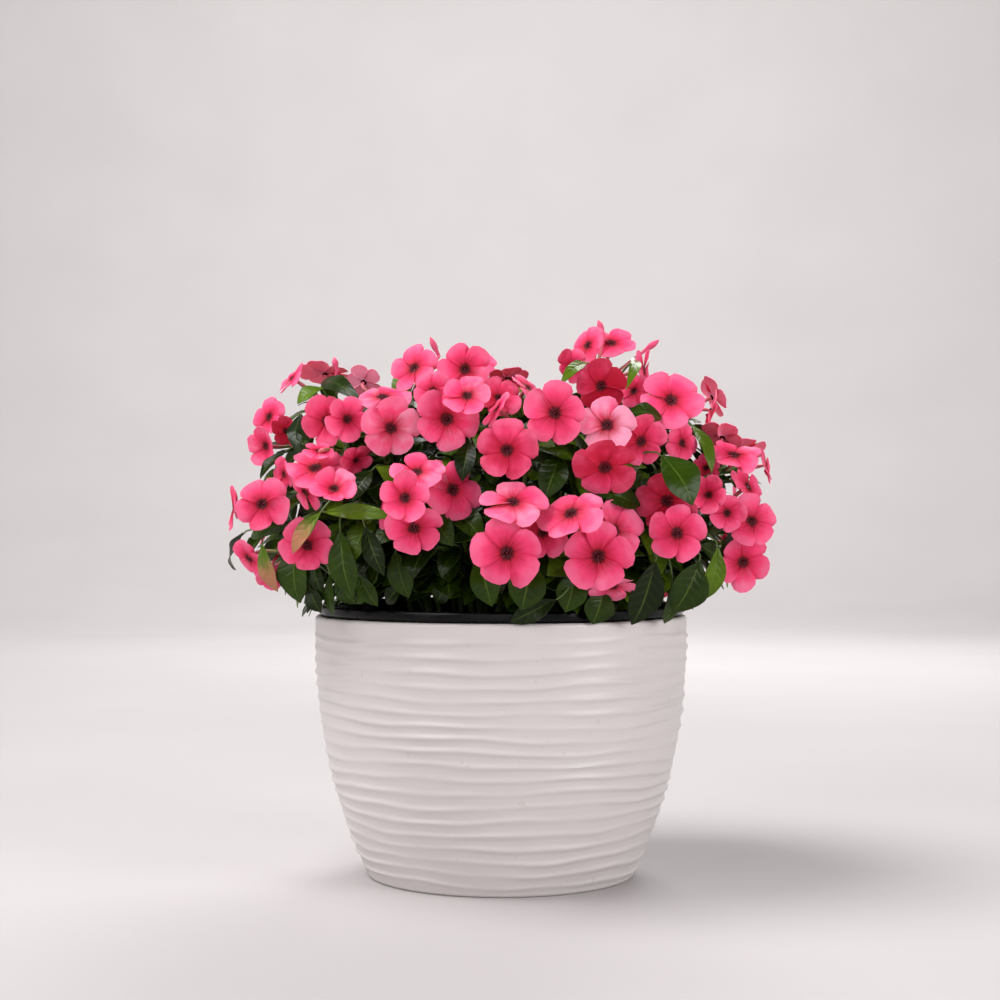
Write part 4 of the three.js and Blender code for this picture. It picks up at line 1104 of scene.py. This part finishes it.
def leafFinish():
    # place holds the way along the blade, across it and the side; mood the youth, the bronze and a draw
    finish = Finish("leaf", roughness=0.3, specularIorLevel=0.18)
    s, t, side = finish.parts("place")
    youth, bronze, luck = finish.parts("mood")
    clouds = finish.noise(finish.vector(t * 1.5, s * 3, luck * 40), 1, 3) - 0.5
    colour = finish.mix(finish.between(clouds + luck - 0.5, -0.5, 0.6), leafLook["dark"], leafLook["green"])
    colour = finish.mix(finish.between(youth + clouds * 0.4, 0.1, 1), colour, leafLook["young"])
    tan = bronze * finish.between(s + clouds * 0.6, 0.15, 0.7)
    colour = finish.mix(tan, colour, leafLook["bronze"])
    # side veins leave the midrib at a slant
    wave = finish.maths("PINGPONG", s * 7 - abs(t) * 1.1 + 0.5 * clouds, 0.5)
    vein = finish.between(wave, 0.02, 0.1, 1, 0) * finish.between(abs(t), 0.75, 1, 1, 0)
    colour = finish.mix(vein * 0.2, colour, leafLook["vein"])
    midrib = finish.between(abs(t), 0.02, 0.07, 1, 0)
    colour = finish.mix(midrib * 0.32, colour, leafLook["midrib"])
    colour = finish.mix(finish.between(side, 0.2, -0.2, 0, 0.7), colour, leafLook["under"])
    relief = finish.between(wave, 0, 0.28) * (1 - midrib)
    relief = finish.bump(relief, leafLook["veinDepth"] * mm, 0.32)
    finish.set(finish.surface, {"Base Color": colour, "Normal": relief})
    finish.glow(leafLook["through"], leafLook["glow"])
    return finish


stemLook = {"dark": tone(56, 80, 30), "light": tone(98, 120, 56)}


def stemFinish():
    finish = Finish("stem", roughness=0.5)
    grain = finish.noise(finish.object(), 120, 3)
    finish.set(finish.surface, {"Base Color": finish.mix(grain, stemLook["dark"], stemLook["light"])})
    return finish


glazeLook = {
    "shade": tone(203, 197, 196), "white": tone(211, 205, 204), "speck": tone(178, 168, 158),
    "unevenness": 0.3,
}


def glazeFinish():
    finish = Finish("white_glaze", coatWeight=0.2, coatRoughness=0.26, roughness=0.45)
    broad = finish.noise(finish.object(), 9, 3)
    fine = finish.noise(finish.object(), 160, 4)
    colour = finish.mix(broad, glazeLook["shade"], glazeLook["white"])
    colour = finish.mix(finish.between(fine, 0.66, 0.74, 0, 0.25), colour, glazeLook["speck"])
    relief = finish.bump(finish.noise(finish.object(), 60, 3), glazeLook["unevenness"] * mm, 0.35)
    finish.set(finish.surface, {"Base Color": colour, "Normal": relief})
    return finish


plasticLook = {"dark": tone(2, 2, 2), "scuffed": tone(8, 8, 8), "smooth": 0.18, "rough": 0.34}


def blackPlasticFinish():
    finish = Finish("black_plastic", specularIorLevel=0.16)
    scuffs = finish.noise(finish.object(), 90, 4)
    finish.set(finish.surface, {
        "Base Color": finish.mix(scuffs, plasticLook["dark"], plasticLook["scuffed"]),
        "Roughness": finish.between(scuffs, 0.3, 0.7, plasticLook["smooth"], plasticLook["rough"]),
    })
    return finish


soilLook = {"dark": tone(26, 19, 15), "brown": tone(70, 52, 40), "speck": tone(150, 132, 110), "grain": 1.5}


def soilFinish():
    finish = Finish("potting_soil", roughness=0.95)
    grain = finish.noise(finish.object(), 220, 5, 0.7)
    specks = finish.noise(finish.object(), 420, 2)
    colour = finish.mix(grain, soilLook["dark"], soilLook["brown"])
    colour = finish.mix(finish.between(specks, 0.7, 0.76), colour, soilLook["speck"])
    relief = finish.bump(grain, soilLook["grain"] * mm)
    finish.set(finish.surface, {"Base Color": colour, "Normal": relief})
    return finish


petals, stalk, star = petalFinish(), stalkFinish(), starFinish()
leafGreen, stemGreen = leafFinish(), stemFinish()
glaze, blackPlastic, pottingSoil = glazeFinish(), blackPlasticFinish(), soilFinish()
print("finishes made")


# The cover pot, with its wavy ridges

pot = {
    "height": 180.4, "foot": 92, "rim": 129.5, "bulge": 2.35, "wall": 6, "floor": 9, "footRounding": 3,
    "rimRounding": 2.2, "ridges": 19, "firstRidge": 7.5, "pitch": 8.9, "relief": 0.95, "keenness": 2.1,
    "columns": 270, "rows": 200, "innerRows": 14, "rings": [2, 25, 60, 84],
}


def potRadius(z):
    swell = 1 - np.clip(1 - z / pot["height"], 0, 1) ** pot["bulge"]
    return pot["foot"] + (pot["rim"] - pot["foot"]) * swell


def ridgeRelief(angle, z):
    # the ridges wander up and down and fade in and out round the pot
    level = z
    for _ in range(4):
        sway = 1.5 * np.sin(2 * angle + level / 17) + 0.9 * np.sin(5 * angle - level / 11 + 1)
        level = z - sway - 0.35 * np.sin(9 * angle + level / 6) - 0.25 * np.sin(14 * angle - level / 5 + 2)
    strength = 1 + 0.45 * np.sin(3 * angle + level / 9 + 2) + 0.2 * np.sin(11 * angle - level / 7)
    step = (level - pot["firstRidge"]) / pot["pitch"]
    crest = (0.5 + 0.5 * np.cos(2 * math.pi * step)) ** pot["keenness"]
    inside = np.clip((step + 0.5) * 2, 0, 1) * np.clip((pot["ridges"] - 0.5 - step) * 2, 0, 1)
    return pot["relief"] * strength * crest * inside


def coverPotBody():
    # rings of radii and heights from the middle of the foot, up outside, over the rim and down to the floor
    angles = np.arange(pot["columns"]) / pot["columns"] * 2 * math.pi
    lower, upper = pot["footRounding"], pot["height"] - pot["rimRounding"]
    z = np.linspace(lower, upper, pot["rows"])[:, None]
    side = potRadius(z) + ridgeRelief(angles[None, :], z)
    turns = np.linspace(0, 1, 6)[:, None] * math.pi / 2
    foot = potRadius(lower) - lower + lower * np.sin(turns[:-1])
    footZ = lower - lower * np.cos(turns[:-1])
    rounding = pot["rimRounding"]
    crown = pot["rim"] - rounding + rounding * np.cos(turns[1:])
    crownZ = upper + rounding * np.sin(turns[1:])
    inner = pot["rim"] - pot["wall"] + rounding - rounding * np.sin(turns)
    innerZ = upper + rounding * np.cos(turns)
    wallZ = np.linspace(upper - 6, pot["floor"] + 4, pot["innerRows"])[:, None]
    wallR = potRadius(wallZ) - pot["wall"]
    middle = np.array(pot["rings"], float)[:, None]
    corner = potRadius(pot["floor"]) - pot["wall"] - 2.0
    floorR = np.concatenate([[[corner]], middle[2::-1]])
    floorZ = np.full((4, 1), float(pot["floor"]))
    wide = np.ones((1, pot["columns"]))
    radii = [ring * wide for ring in (middle, foot, side, crown, inner, wallR, floorR)]
    heights = [ring * wide for ring in (0 * middle, footZ, z, crownZ, innerZ, wallZ, floorZ)]
    return turnedBody(np.concatenate(radii), np.concatenate(heights), pot["columns"])


coverPot = Sheaf("glazed_pot", "cover_pot", "glaze", glaze)
coverPot.add(coverPotBody())
coverPot.build(40)

# The black nursery pot that hangs in it by its lip, with drain holes in its floor

liner = {
    "foot": 9.3, "footRadius": 84, "throat": 120, "wall": 1.8, "seat": 180.7, "top": 188.1, "lip": 127,
    "neck": 10, "floor": 2.5, "rounding": 2.2, "drains": 4, "drainRadius": 6, "drainRing": 48, "columns": 160,
}


def rounded(corners, reach, steps=5):
    # a profile with its corners rounded
    points = [np.array(corners[0], float)]
    for before, corner, after in zip(corners, corners[1:], corners[2:]):
        before, corner, after = (np.array(p, float) for p in (before, corner, after))
        cut = min(reach, 0.45 * np.linalg.norm(corner - before), 0.45 * np.linalg.norm(after - corner))
        start, end = corner + unit(before - corner) * cut, corner + unit(after - corner) * cut
        for share in np.linspace(0, 1, steps):
            points.append(start * (1 - share) ** 2 + corner * 2 * share * (1 - share) + end * share ** 2)
    return np.array([*points, corners[-1]])


def cutOut(piece, bodies):
    # takes closed bodies out of a piece
    cutter = Sheaf("cutter", None, None)
    for body in bodies:
        cutter.add(body)
    mesh = bpy.data.meshes.new("cutter")
    mesh.from_pydata(np.concatenate(cutter.points) * mm, [], cutter.faces)
    tool = bpy.data.objects.new("cutter", mesh)
    bpy.context.scene.collection.objects.link(tool)
    modifier = piece.modifiers.new("holes", "BOOLEAN")
    modifier.object = tool
    modifier.operation = "DIFFERENCE"
    bpy.context.view_layer.update()
    cut = bpy.data.meshes.new_from_object(piece.evaluated_get(bpy.context.evaluated_depsgraph_get()))
    piece.modifiers.clear()
    piece.data = cut
    bpy.data.objects.remove(tool)


def nurseryPotBody():
    wall, neckRadius, seat, top = liner["wall"], liner["throat"], liner["seat"], liner["top"]
    neckFoot, inside = seat - liner["neck"], liner["foot"] + liner["floor"]
    profile = rounded([
        (1, liner["foot"]), (liner["footRadius"], liner["foot"]), (neckRadius + wall, neckFoot),
        (neckRadius + wall, seat), (liner["lip"], seat), (liner["lip"] - 0.3, top),
        (neckRadius + wall / 2, top - 0.6), (neckRadius, neckFoot), (liner["footRadius"] - wall, inside),
        (1, inside),
    ], liner["rounding"])
    return turnedBody(profile[:, :1], profile[:, 1:], liner["columns"])


nurseryPot = Sheaf("nursery_liner", "nursery_pot", "black_plastic", blackPlastic)
nurseryPot.add(nurseryPotBody())
drainAngles = [k / liner["drains"] * 2 * math.pi for k in range(liner["drains"])]
drains = [(math.cos(a) * liner["drainRing"], math.sin(a) * liner["drainRing"]) for a in drainAngles]
cutOut(nurseryPot.build(40), [
    sweepBody([(x, y, z) for z in (liner["foot"] - 5, liner["foot"] + 10)], [liner["drainRadius"]] * 2, 24)
    for x, y in drains
])

# The soil, crumbly on top, with a hole for each stem

crumbs = {"rings": 60, "columns": 150, "roughness": 0.9}


def soilBody():
    bottom = liner["foot"] + liner["floor"] + 0.3
    share = np.linspace(1, 0.01, crumbs["rings"])[:, None]
    angles = np.arange(crumbs["columns"]) / crumbs["columns"] * 2 * math.pi
    radii = share * soil["radius"] * np.ones_like(angles)
    x, y = radii * np.cos(angles), radii * np.sin(angles)
    top = soilHeight(x, y) - 2 * np.clip((share - 0.9) * 10, 0, 1)
    rough = luck.random(top.shape) - 0.5
    top = top + crumbs["roughness"] * rough * np.clip((1 - share) * 12, 0, 1)
    edge = [soil["radius"], soil["top"] - 6]
    side = np.array([[1.0, bottom], [40, bottom], [81, bottom], [83, bottom + 2], edge])
    wide = np.ones((1, crumbs["columns"]))
    allRadii = np.concatenate([side[:, :1] * wide, radii])
    return turnedBody(allRadii, np.concatenate([side[:, 1:] * wide, top]), crumbs["columns"])


earth = Sheaf("potting_mix", "soil", "soil", pottingSoil)
earth.add(soilBody())
earthPiece = earth.build(180)
rootHoles = [stemsOf[heads[0]]["stops"][0] for heads in shoots.values()]
cutOut(earthPiece, [
    sweepBody([root - up * 0.3, root + up * 40], [stem["radius"] + 0.5] * 2, 12) for root in rootHoles
])
print("pots and soil built")

# Blooms with their tubes, knots and buds

flowers = {}
for head, blooms in bloomsOf.items():
    sheaf = flowers[head] = Sheaf(head + "Flowers", head + "Blooms", "petals", petals, stalk, star, stemGreen)
    centre = knotsOf[head]["centre"]
    for bloom in blooms:
        waves = bloomWaves()
        for k in range(5):
            # the petal's mood: its bloom's lightness, a draw that paints the petal's own shade, and a draw
            # for its patterns
            sheaf.add(petalBody(bloom, k, waves), (bloom["light"], luck.random(), luck.random()))
        sheaf.add(throatBody(bloom), finish=2)
        path = tubePath(bloom, centre)
        sheaf.add(sweepBody(path, flowerTube["radii"]), finish=1)
        for body in sepalBodies(path):
            sheaf.add(body, finish=3)
    sheaf.add(knotBody(knotsOf[head]), finish=3)
    for row in frontBuds.get(head, []):
        tip, base = budRoute(row, head)
        sheaf.add(budBody(tip, base, centre), (1, 0, 0), 1)
    sheaf.build()
print("blooms built")

# Shoots: stems and leaves

# s, a shining leaf, gets a little youth: painted sheen, a slightly lighter green
leafMoods = {"g": (0, 0), "y": (0.6, 0), "b": (0.6, 0.9), "s": (0.1, 0)}    # how young and how bronze
frameLeafGrid = 20, 11
stemRadii = [1.9, 1.9, 1.8, 1.7, 1.5, 1.4]
stemSteps = 26


def stemPath(head):
    # a head's stem, from its root or its fork to its knot
    found = stemsOf[head]
    path = bezier(found["handles"], np.linspace(0, 1, stemSteps))
    if not found["forked"]:
        path = np.concatenate([[found["stops"][0], found["stops"][0] + up * 12], path])
    return path


def leafRoot(leaf):
    # the stem's place that a leaf of the front grows from
    along = unit(leaf["tip"] - leaf["base"])
    best = None
    for head in shoots[leaf["shoot"]]:
        first = 2 if stemsOf[head]["forked"] else 6
        for i in range(first, 24):
            point = alongStops(stemsOf[head]["stops"], i / 24.5)[0]
            way = leaf["base"] - point
            cost = np.linalg.norm(way) * (1 + 0.6 * (1 - unit(way) @ along))
            if best is None or cost < best[0]:
                best = cost, point
    return best[1]


foliage = {
    shoot: Sheaf(shoot.replace("Shoot", "Foliage"), shoot, "leaves", leafGreen, stemGreen) for shoot in shoots
}
for shoot, heads in shoots.items():
    for head in heads:
        foliage[shoot].add(sweepBody(stemPath(head), stemRadii), finish=1)
for leaf in frameLeaves:
    youth, bronze = leafMoods[leaf["look"]]
    leaf["twist"] = 0.25 * centred()
    sheaf = foliage[leaf["shoot"]]
    sheaf.add(leafBody(leaf, *frameLeafGrid), (youth, bronze, luck.random()))
    sheaf.add(leafStalk(leafRoot(leaf), leaf), finish=1)
print("shoots built")

# Leaves between those of the frame: in pairs up every stem, round every knot and along side twigs

outline = [    # of the whole plant, in photograph pixels
    (304, 619), (240, 568), (230, 560), (224, 505), (234, 490), (247, 470), (249, 440), (254, 415),
    (270, 400), (282, 375), (302, 360), (338, 355), (352, 375), (366, 372), (380, 382), (392, 352),
    (412, 344), (438, 340), (442, 355), (480, 354), (495, 368), (520, 368), (535, 378), (562, 388),
    (578, 385), (567, 360), (570, 345), (590, 337), (600, 325), (612, 337), (640, 347), (656, 342),
    (653, 365), (640, 372), (672, 374), (700, 380), (716, 392), (718, 420), (743, 440), (773, 455),
    (776, 485), (768, 510), (775, 530), (773, 570), (745, 588), (718, 590), (700, 608), (668, 622),
    (556, 626), (517, 628), (500, 606), (345, 606),
]
extra = {    # a pair is a least value and how far a draw may pass it
    "length": 50, "lengths": (0.8, 0.4), "width": 0.42, "widths": (0.9, 0.25), "stalk": (5, 4),
    "climb": (0.1, 0.8), "droop": 0.3, "outwards": 0.4, "twist": 0.5, "rows": 9, "columns": 7, "spacing": 11,
    "tries": 6, "smaller": 0.93, "lowest": 176, "inside": 0.98, "rear": 0.92, "ahead": 70, "roundKnot": 10,
    "fromRoot": 45, "fromFork": 40,
}


def photoPixel(points):
    # where the photograph would show some points
    pitch = math.radians(photoView["pitch"])
    reach = points[:, 1] + photoView["distance"]
    rise = points[:, 2] - photoView["height"]
    depth = reach * math.cos(pitch) + rise * math.sin(pitch)
    right = (points[:, 0] - photoView["side"]) / depth
    high = (rise * math.cos(pitch) - reach * math.sin(pitch)) / depth
    return photoView["middle"] + photoView["focal"] * right, photoView["middle"] - photoView["focal"] * high


def insideOutline(points):
    px, py = photoPixel(points)
    crossings = np.zeros(len(points), int)
    for (x0, y0), (x1, y1) in zip(outline, outline[1:] + outline[:1]):
        spans = (y0 > py) != (y1 > py)
        crossings += spans & (px < x0 + (py - y0) * (x1 - x0) / (y1 - y0 + 1e-9))
    return bool((crossings % 2 == 1).all())


def plantLevel(points):
    # below 1 inside the plant, at the front as at the back
    x, y, z = points.T
    high = np.where(z > rearCrown["middle"], rearCrown["rise"], rearCrown["drop"])
    rear = (x / rearCrown["halfWidth"]) ** 2 + (y / rearCrown["halfDepth"]) ** 2
    rear = np.sqrt(rear + ((z - rearCrown["middle"]) / high) ** 2) * extra["rear"]
    return np.where(y < 0, crownLevel(points), rear)


def treeOf(sheaves):
    # a search tree of all the faces of some sheaves
    points, faces, count = [], [], 0
    for sheaf in sheaves:
        points += np.concatenate(sheaf.points).tolist()
        faces += [[k + count for k in face] for face in sheaf.faces]
        count += sheaf.count
    return BVHTree.FromPolygons(points, faces)


standing = treeOf([coverPot, nurseryPot, earth, *flowers.values(), *foliage.values()])
shown = treeOf([flowers[head] for head in frontHeads])
grown = []
eyePoint = np.array([photoView["side"], -photoView["distance"], photoView["height"]])


def coversBloom(points):
    # whether a leaf would stand in front of a bloom that the photograph shows
    for point in points:
        towards = unit(eyePoint - point)
        if shown.ray_cast(point - towards, -towards, extra["ahead"])[0] is None:
            continue
        if standing.ray_cast(point + towards, towards)[0] is None:
            return True
    return False


def clears(body):
    # a body with room of its own; its box and search tree are kept for the next ones
    points, faces, _ = body
    low, high = points.min(axis=0), points.max(axis=0)
    tree = BVHTree.FromPolygons(points.tolist(), faces)
    if tree.overlap(standing):
        return False
    for otherLow, otherHigh, other in grown:
        if (low < otherHigh).all() and (high > otherLow).all() and tree.overlap(other):
            return False
    grown.append((low, high, tree))
    return True


def smallLeaf(leaf):
    # a leaf's body, and the points of its upper side
    body = leafBody(leaf, extra["rows"], extra["columns"])
    return body, body[0][:extra["rows"] * extra["columns"]]


def hasRoom(body, points):
    # whether a leaf stays inside the plant's outline, off the shown blooms and clear of all that stands
    return insideOutline(points) and not coversBloom(points[::5]) and clears(body)


def addLeaf(sheaf, body, root, leaf, youth, spread):
    sheaf.add(body, (youth + spread * centred(), 0, luck.random()))
    sheaf.add(leafStalk(root, leaf, 4), finish=1)


def growLeaf(sheaf, root, heading, turn, size, youth):
    # a leaf from a stem, moved and made smaller till it has room; says whether it found any
    level = unit(np.cross(up, heading) + 1e-6)
    out = unit(root - crownHeart)
    for attempt in range(extra["tries"]):
        across = turned(level, heading, turn + centred() * (0.5 + 0.5 * attempt))
        climb, droop = some(*extra["climb"]), extra["droop"] * luck.random()
        length = extra["length"] * size * some(*extra["lengths"]) * extra["smaller"] ** attempt
        way = unit(across + heading * climb + out * extra["outwards"] - up * droop)
        leaf = {
            "base": root + way * some(*extra["stalk"]),
            "tip": root + way * length - up * droop * length * 0.8,
            "width": length * extra["width"] * some(*extra["widths"]),
            "lift": up * some(0.5, 1) + out,
            "twist": extra["twist"] * centred(),
        }
        body, points = smallLeaf(leaf)
        if points[:, 2].min() < extra["lowest"] or plantLevel(points).max() > extra["inside"]:
            continue
        if hasRoom(body, points):
            addLeaf(sheaf, body, root, leaf, youth, 0.3)
            return True
    return False


# Leaves that show between the blooms: base, tip and breadth in photograph pixels, and the millimetres that
# base and tip lie behind the crown
gapLeaves = [
    (706, 450, 730, 476, 18, 30, 26), (712, 474, 706, 506, 18, 34, 30), (722, 470, 750, 478, 16, 40, 36),
    (692, 420, 716, 440, 18, 30, 28), (700, 540, 730, 560, 20, 30, 26), (735, 530, 720, 566, 20, 34, 30),
    (290, 520, 256, 536, 20, 26, 22), (286, 540, 262, 566, 22, 24, 18), (262, 536, 246, 560, 18, 30, 24),
    (300, 455, 276, 470, 16, 30, 26), (290, 480, 262, 478, 18, 34, 30), (300, 500, 274, 520, 18, 24, 20),
    (310, 585, 328, 612, 18, 24, 10), (335, 582, 352, 604, 18, 30, 24), (372, 588, 350, 603, 16, 34, 28),
    (400, 586, 386, 604, 16, 40, 36), (448, 584, 436, 604, 18, 40, 36), (352, 400, 372, 414, 16, 40, 36),
    (500, 400, 522, 416, 16, 34, 30), (540, 440, 520, 424, 18, 30, 30), (660, 430, 680, 414, 18, 40, 40),
]


def nearestStem(point):
    # the shoot whose stems come nearest to a point, and the place on them
    return stemPlaces[int(np.argmin(np.linalg.norm(placePoints - point, axis=1)))]


def gapLeaf(row):
    # such a leaf, moved till it has room; says whether it found any
    baseX, baseY, tipX, tipY, breadth, behindBase, behindTip = row
    for deeper in leafSteps["deeper"] + leafSteps["deepest"]:
        base = onCrown(baseX, baseY, behindBase + deeper)
        depth = onCrown(tipX, tipY, behindTip + deeper)[1]
        for aside in leafSteps["aside"]:
            leaf = {
                "base": base + up * aside * 0.3, "tip": onSightLine(tipX + aside, tipY, depth),
                "width": breadth * pixelSize(base), "lift": unit(base - crownHeart) + frontLift,
            }
            body, points = smallLeaf(leaf)
            if not coversBloom(points[::3]) and clears(body):
                shoot, root = nearestStem(base)
                addLeaf(foliage[shoot], body, root, leaf, 0, 0.3)
                return True
    return False


def leavesAlong(sheaf, path, first, size, youth):
    # opposite pairs up a stem, each pair turned against the one below it
    lengths = np.concatenate([[0], np.cumsum(np.linalg.norm(np.diff(path, axis=0), axis=1))])
    turn = luck.random() * math.pi
    count = 0
    for far in np.arange(first, lengths[-1], extra["spacing"]):
        point = np.array([np.interp(far, lengths, path[:, k]) for k in range(3)])
        ahead = np.array([np.interp(far + 1, lengths, path[:, k]) for k in range(3)])
        behind = np.array([np.interp(far - 1, lengths, path[:, k]) for k in range(3)])
        turn += math.pi / 2
        share = far / lengths[-1]
        for half in (0, math.pi):
            count += growLeaf(sheaf, point, unit(ahead - behind), turn + half, size, youth * share)
    return count


stemPlaces = [
    (shoot, point) for shoot, heads in shoots.items() for head in heads for point in stemPath(head)[6:]
]
placePoints = np.array([point for _, point in stemPlaces])
print("leaves between the blooms:", [gapLeaf(row) for row in gapLeaves].count(True))

leafCount = 0
for shoot, heads in shoots.items():
    for head in heads:
        path = stemPath(head)
        first = extra["fromFork"] if stemsOf[head]["forked"] else extra["fromRoot"]
        leafCount += leavesAlong(foliage[shoot], path, first, 1, 0.3)
        axis, centre = knotsOf[head]["axis"], knotsOf[head]["centre"]
        for k in range(extra["roundKnot"]):
            leafCount += growLeaf(foliage[shoot], centre - axis * 3, axis, k * 2.4, 0.62 + 0.3 * (k % 2), 0.4)
print("leaves on the stems:", leafCount)

# Leaves low on the stems that hang out over the rim

hanging = {    # with the same pairs
    "count": 220, "tries": 12, "rounds": 2, "reach": (84, 34), "height": (194, 40), "length": (36, 14),
    "width": (0.44, 0.12), "smaller": 0.95, "sideways": 1.2, "droop": 0.75, "farthest": 148,
}


def hangLeaf(azimuth):
    # such a leaf, drawn anew till it has room; says whether it found any
    out = np.array((math.sin(azimuth), -math.cos(azimuth), 0))
    across = np.cross(up, out)
    for attempt in range(hanging["tries"]):
        base = out * some(*hanging["reach"]) + up * some(*hanging["height"])
        length = some(*hanging["length"]) * hanging["smaller"] ** attempt
        aside = across * hanging["sideways"] * centred()
        way = unit(out + aside - up * hanging["droop"] * luck.random())
        leaf = {
            "base": base, "tip": base + way * length, "width": length * some(*hanging["width"]),
            "lift": up + out * 0.6 * luck.random(), "twist": extra["twist"] * centred(),
        }
        body, points = smallLeaf(leaf)
        if np.hypot(points[:, 0], points[:, 1]).max() > hanging["farthest"]:
            continue
        if points[:, 2].min() >= extra["lowest"] and hasRoom(body, points):
            shoot, root = nearestStem(base)
            addLeaf(foliage[shoot], body, root, leaf, 0, 0.2)
            return True
    return False


hung = 0
for k in range(hanging["count"]):
    hung += hangLeaf((k + luck.random()) / hanging["count"] * hanging["rounds"] * 2 * math.pi)
print("leaves that hang over the rim:", hung)

# Side twigs with leaves, through the whole crown

twig = {    # with the same pairs; reach is how far the crown goes out to the side, to the front and up
    "count": 150, "tries": 3000, "spacing": 20, "shortest": 14, "longest": 90, "reach": (165, 140, 100),
    "slants": (-0.55, 1.5), "depths": (0.62, 0.26), "middle": 40, "lowest": 185, "inside": 0.9,
    "radii": [1.2, 1.05, 0.8],
}
twigEnds = []
for _ in range(twig["tries"]):
    if len(twigEnds) == twig["count"]:
        break
    azimuth, slant = luck.random() * 2 * math.pi, some(*twig["slants"])
    flat = math.sqrt(max(0, 1 - slant ** 2))
    way = np.array([math.sin(azimuth) * flat, -math.cos(azimuth) * flat, slant])
    end = crownHeart + up * twig["middle"] + way * twig["reach"] * some(*twig["depths"])
    if end[2] < twig["lowest"] or plantLevel(end[None])[0] > twig["inside"]:
        continue
    if any(np.linalg.norm(end - other) < twig["spacing"] for other in twigEnds):
        continue
    higher = np.maximum(placePoints[:, 2] - end[2] + 10, 0)    # stems above the twig's end are left alone
    nearest = int(np.argmin(np.linalg.norm(placePoints - end, axis=1) + 0.6 * higher))
    reach = np.linalg.norm(placePoints[nearest] - end)
    if not twig["shortest"] < reach < twig["longest"]:
        continue
    shoot, start = stemPlaces[nearest]
    out = unit(end - crownHeart)
    handles = (start, start + up * reach * 0.35, end - unit(out + up * 0.4) * reach * 0.3, end)
    path = bezier(handles, np.linspace(0, 1, 14))
    if not insideOutline(path[3:]) or coversBloom(path[4::2]):
        continue
    if not clears(sweepBody(path[3:], [1.1, 0.8], 6)):
        continue
    twigEnds.append(end)
    foliage[shoot].add(sweepBody(path, twig["radii"], 6), finish=1)
    leafCount += leavesAlong(foliage[shoot], path, 14, 0.95, 0.3)
    heading = unit(path[-1] - path[-2])
    for k in range(4):
        leafCount += growLeaf(foliage[shoot], end, heading, k * math.pi / 2, 0.7, 0.7)
print("twigs:", len(twigEnds), "leaves beyond the frame's:", leafCount)

for sheaf in foliage.values():
    sheaf.build()
pieces = [thing for thing in bpy.data.objects if thing.type == "MESH" and "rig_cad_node" not in thing]
triangles = sum(len(face.vertices) - 2 for piece in pieces for face in piece.data.polygons)
print("triangles in the pieces:", triangles)


# The studio: a pale floor that rises to a wall, soft lights, and the photograph's camera

studio = {
    "flat": 3.0, "far": 5.4, "rise": 2.3, "sides": 96, "rings": 40, "world": 0.1, "lens": 68.22, "sensor": 36,
    "paper": tone(186, 181, 181), "paperLight": tone(194, 189, 189),
}


def floorMesh():
    # a disc that is flat round the pot and curves up into a wall far off; metres
    sides, count = studio["sides"], studio["rings"]
    angles = np.arange(sides) / sides * 2 * math.pi
    rings = []
    for share in np.linspace(0.02, 1, count):
        radius = share * studio["far"]
        bend = max(0, (radius - studio["flat"]) / (studio["far"] - studio["flat"]))
        height = studio["rise"] * (1 - math.sqrt(1 - bend ** 2))
        rings.append(np.stack([radius * np.cos(angles), radius * np.sin(angles), 0 * angles + height], -1))
    points = np.concatenate([*rings, [[0, 0, 0]]])
    index = np.arange(count * sides).reshape(count, sides)
    faces = quads(index, closed=True).tolist()
    faces += [[count * sides, k, (k + 1) % sides] for k in range(sides)]
    mesh = bpy.data.meshes.new("floor")
    mesh.from_pydata(points, [], faces)
    mesh.shade_smooth()
    return mesh


paper = Finish("studio_paper", roughness=0.85, specularIorLevel=0.2)
clouds = paper.noise(paper.object(), 3, 2)
paper.set(paper.surface, {"Base Color": paper.mix(clouds, studio["paper"], studio["paperLight"])})
floor = bpy.data.objects.new("floor", floorMesh())
floor.data.materials.append(paper.material)
bpy.context.scene.collection.objects.link(floor)

lamps = [    # name, place, what it looks at, size, power
    ("sky_window", (-1.2, -0.3, 2.6), (0, 0, 0.2), 1.8, 82),
    ("left_window", (-1.8, -1.8, 1.4), (0, 0, 0.2), 1.6, 24),
    ("right_window", (2.4, -1.6, 1.2), (0, 0, 0.2), 1.6, 44),
    ("front_fill", (-0.2, -3.0, 1.0), (0, 0, 0.2), 2.0, 7),
    ("back_glow", (0.6, 2.0, 1.8), (0, 0, 0.25), 1.6, 40),
    ("wall_wash", (0, 2.6, 2.6), (0, 5.2, 0.9), 2.4, 96),
    ("left_wall_wash", (-2.6, 0, 2.6), (-5.2, 0, 0.9), 2.4, 80),
    ("right_wall_wash", (2.6, 0, 2.6), (5.2, 0, 0.9), 2.4, 80),
    ("front_wall_wash", (0, -2.6, 2.6), (0, -5.2, 0.9), 2.4, 80),
]
for name, place, aim, size, power in lamps:
    lamp = bpy.data.lights.new(name, "AREA")
    lamp.shape = "DISK"
    lamp.size, lamp.energy = size, power
    holder = bpy.data.objects.new(name, lamp)
    holder.location = place
    holder.rotation_euler = (Vector(aim) - Vector(place)).to_track_quat("-Z", "Y").to_euler()
    bpy.context.scene.collection.objects.link(holder)

world = bpy.data.worlds.new("pale_room")
world.use_nodes = True
world.node_tree.nodes["Background"].inputs["Color"].default_value = (1, 1, 1, 1)
world.node_tree.nodes["Background"].inputs["Strength"].default_value = studio["world"]
bpy.context.scene.world = world

camera = bpy.data.cameras.new("photo_camera")
camera.lens, camera.sensor_width = studio["lens"], studio["sensor"]
viewer = bpy.data.objects.new("photo_camera", camera)
viewer.location = (photoView["side"] * mm, -photoView["distance"] * mm, photoView["height"] * mm)
viewer.rotation_euler = (math.radians(90 + photoView["pitch"]), 0, 0)
bpy.context.scene.collection.objects.link(viewer)
bpy.context.scene.camera = viewer
bpy.context.scene.view_settings.view_transform = "Standard"
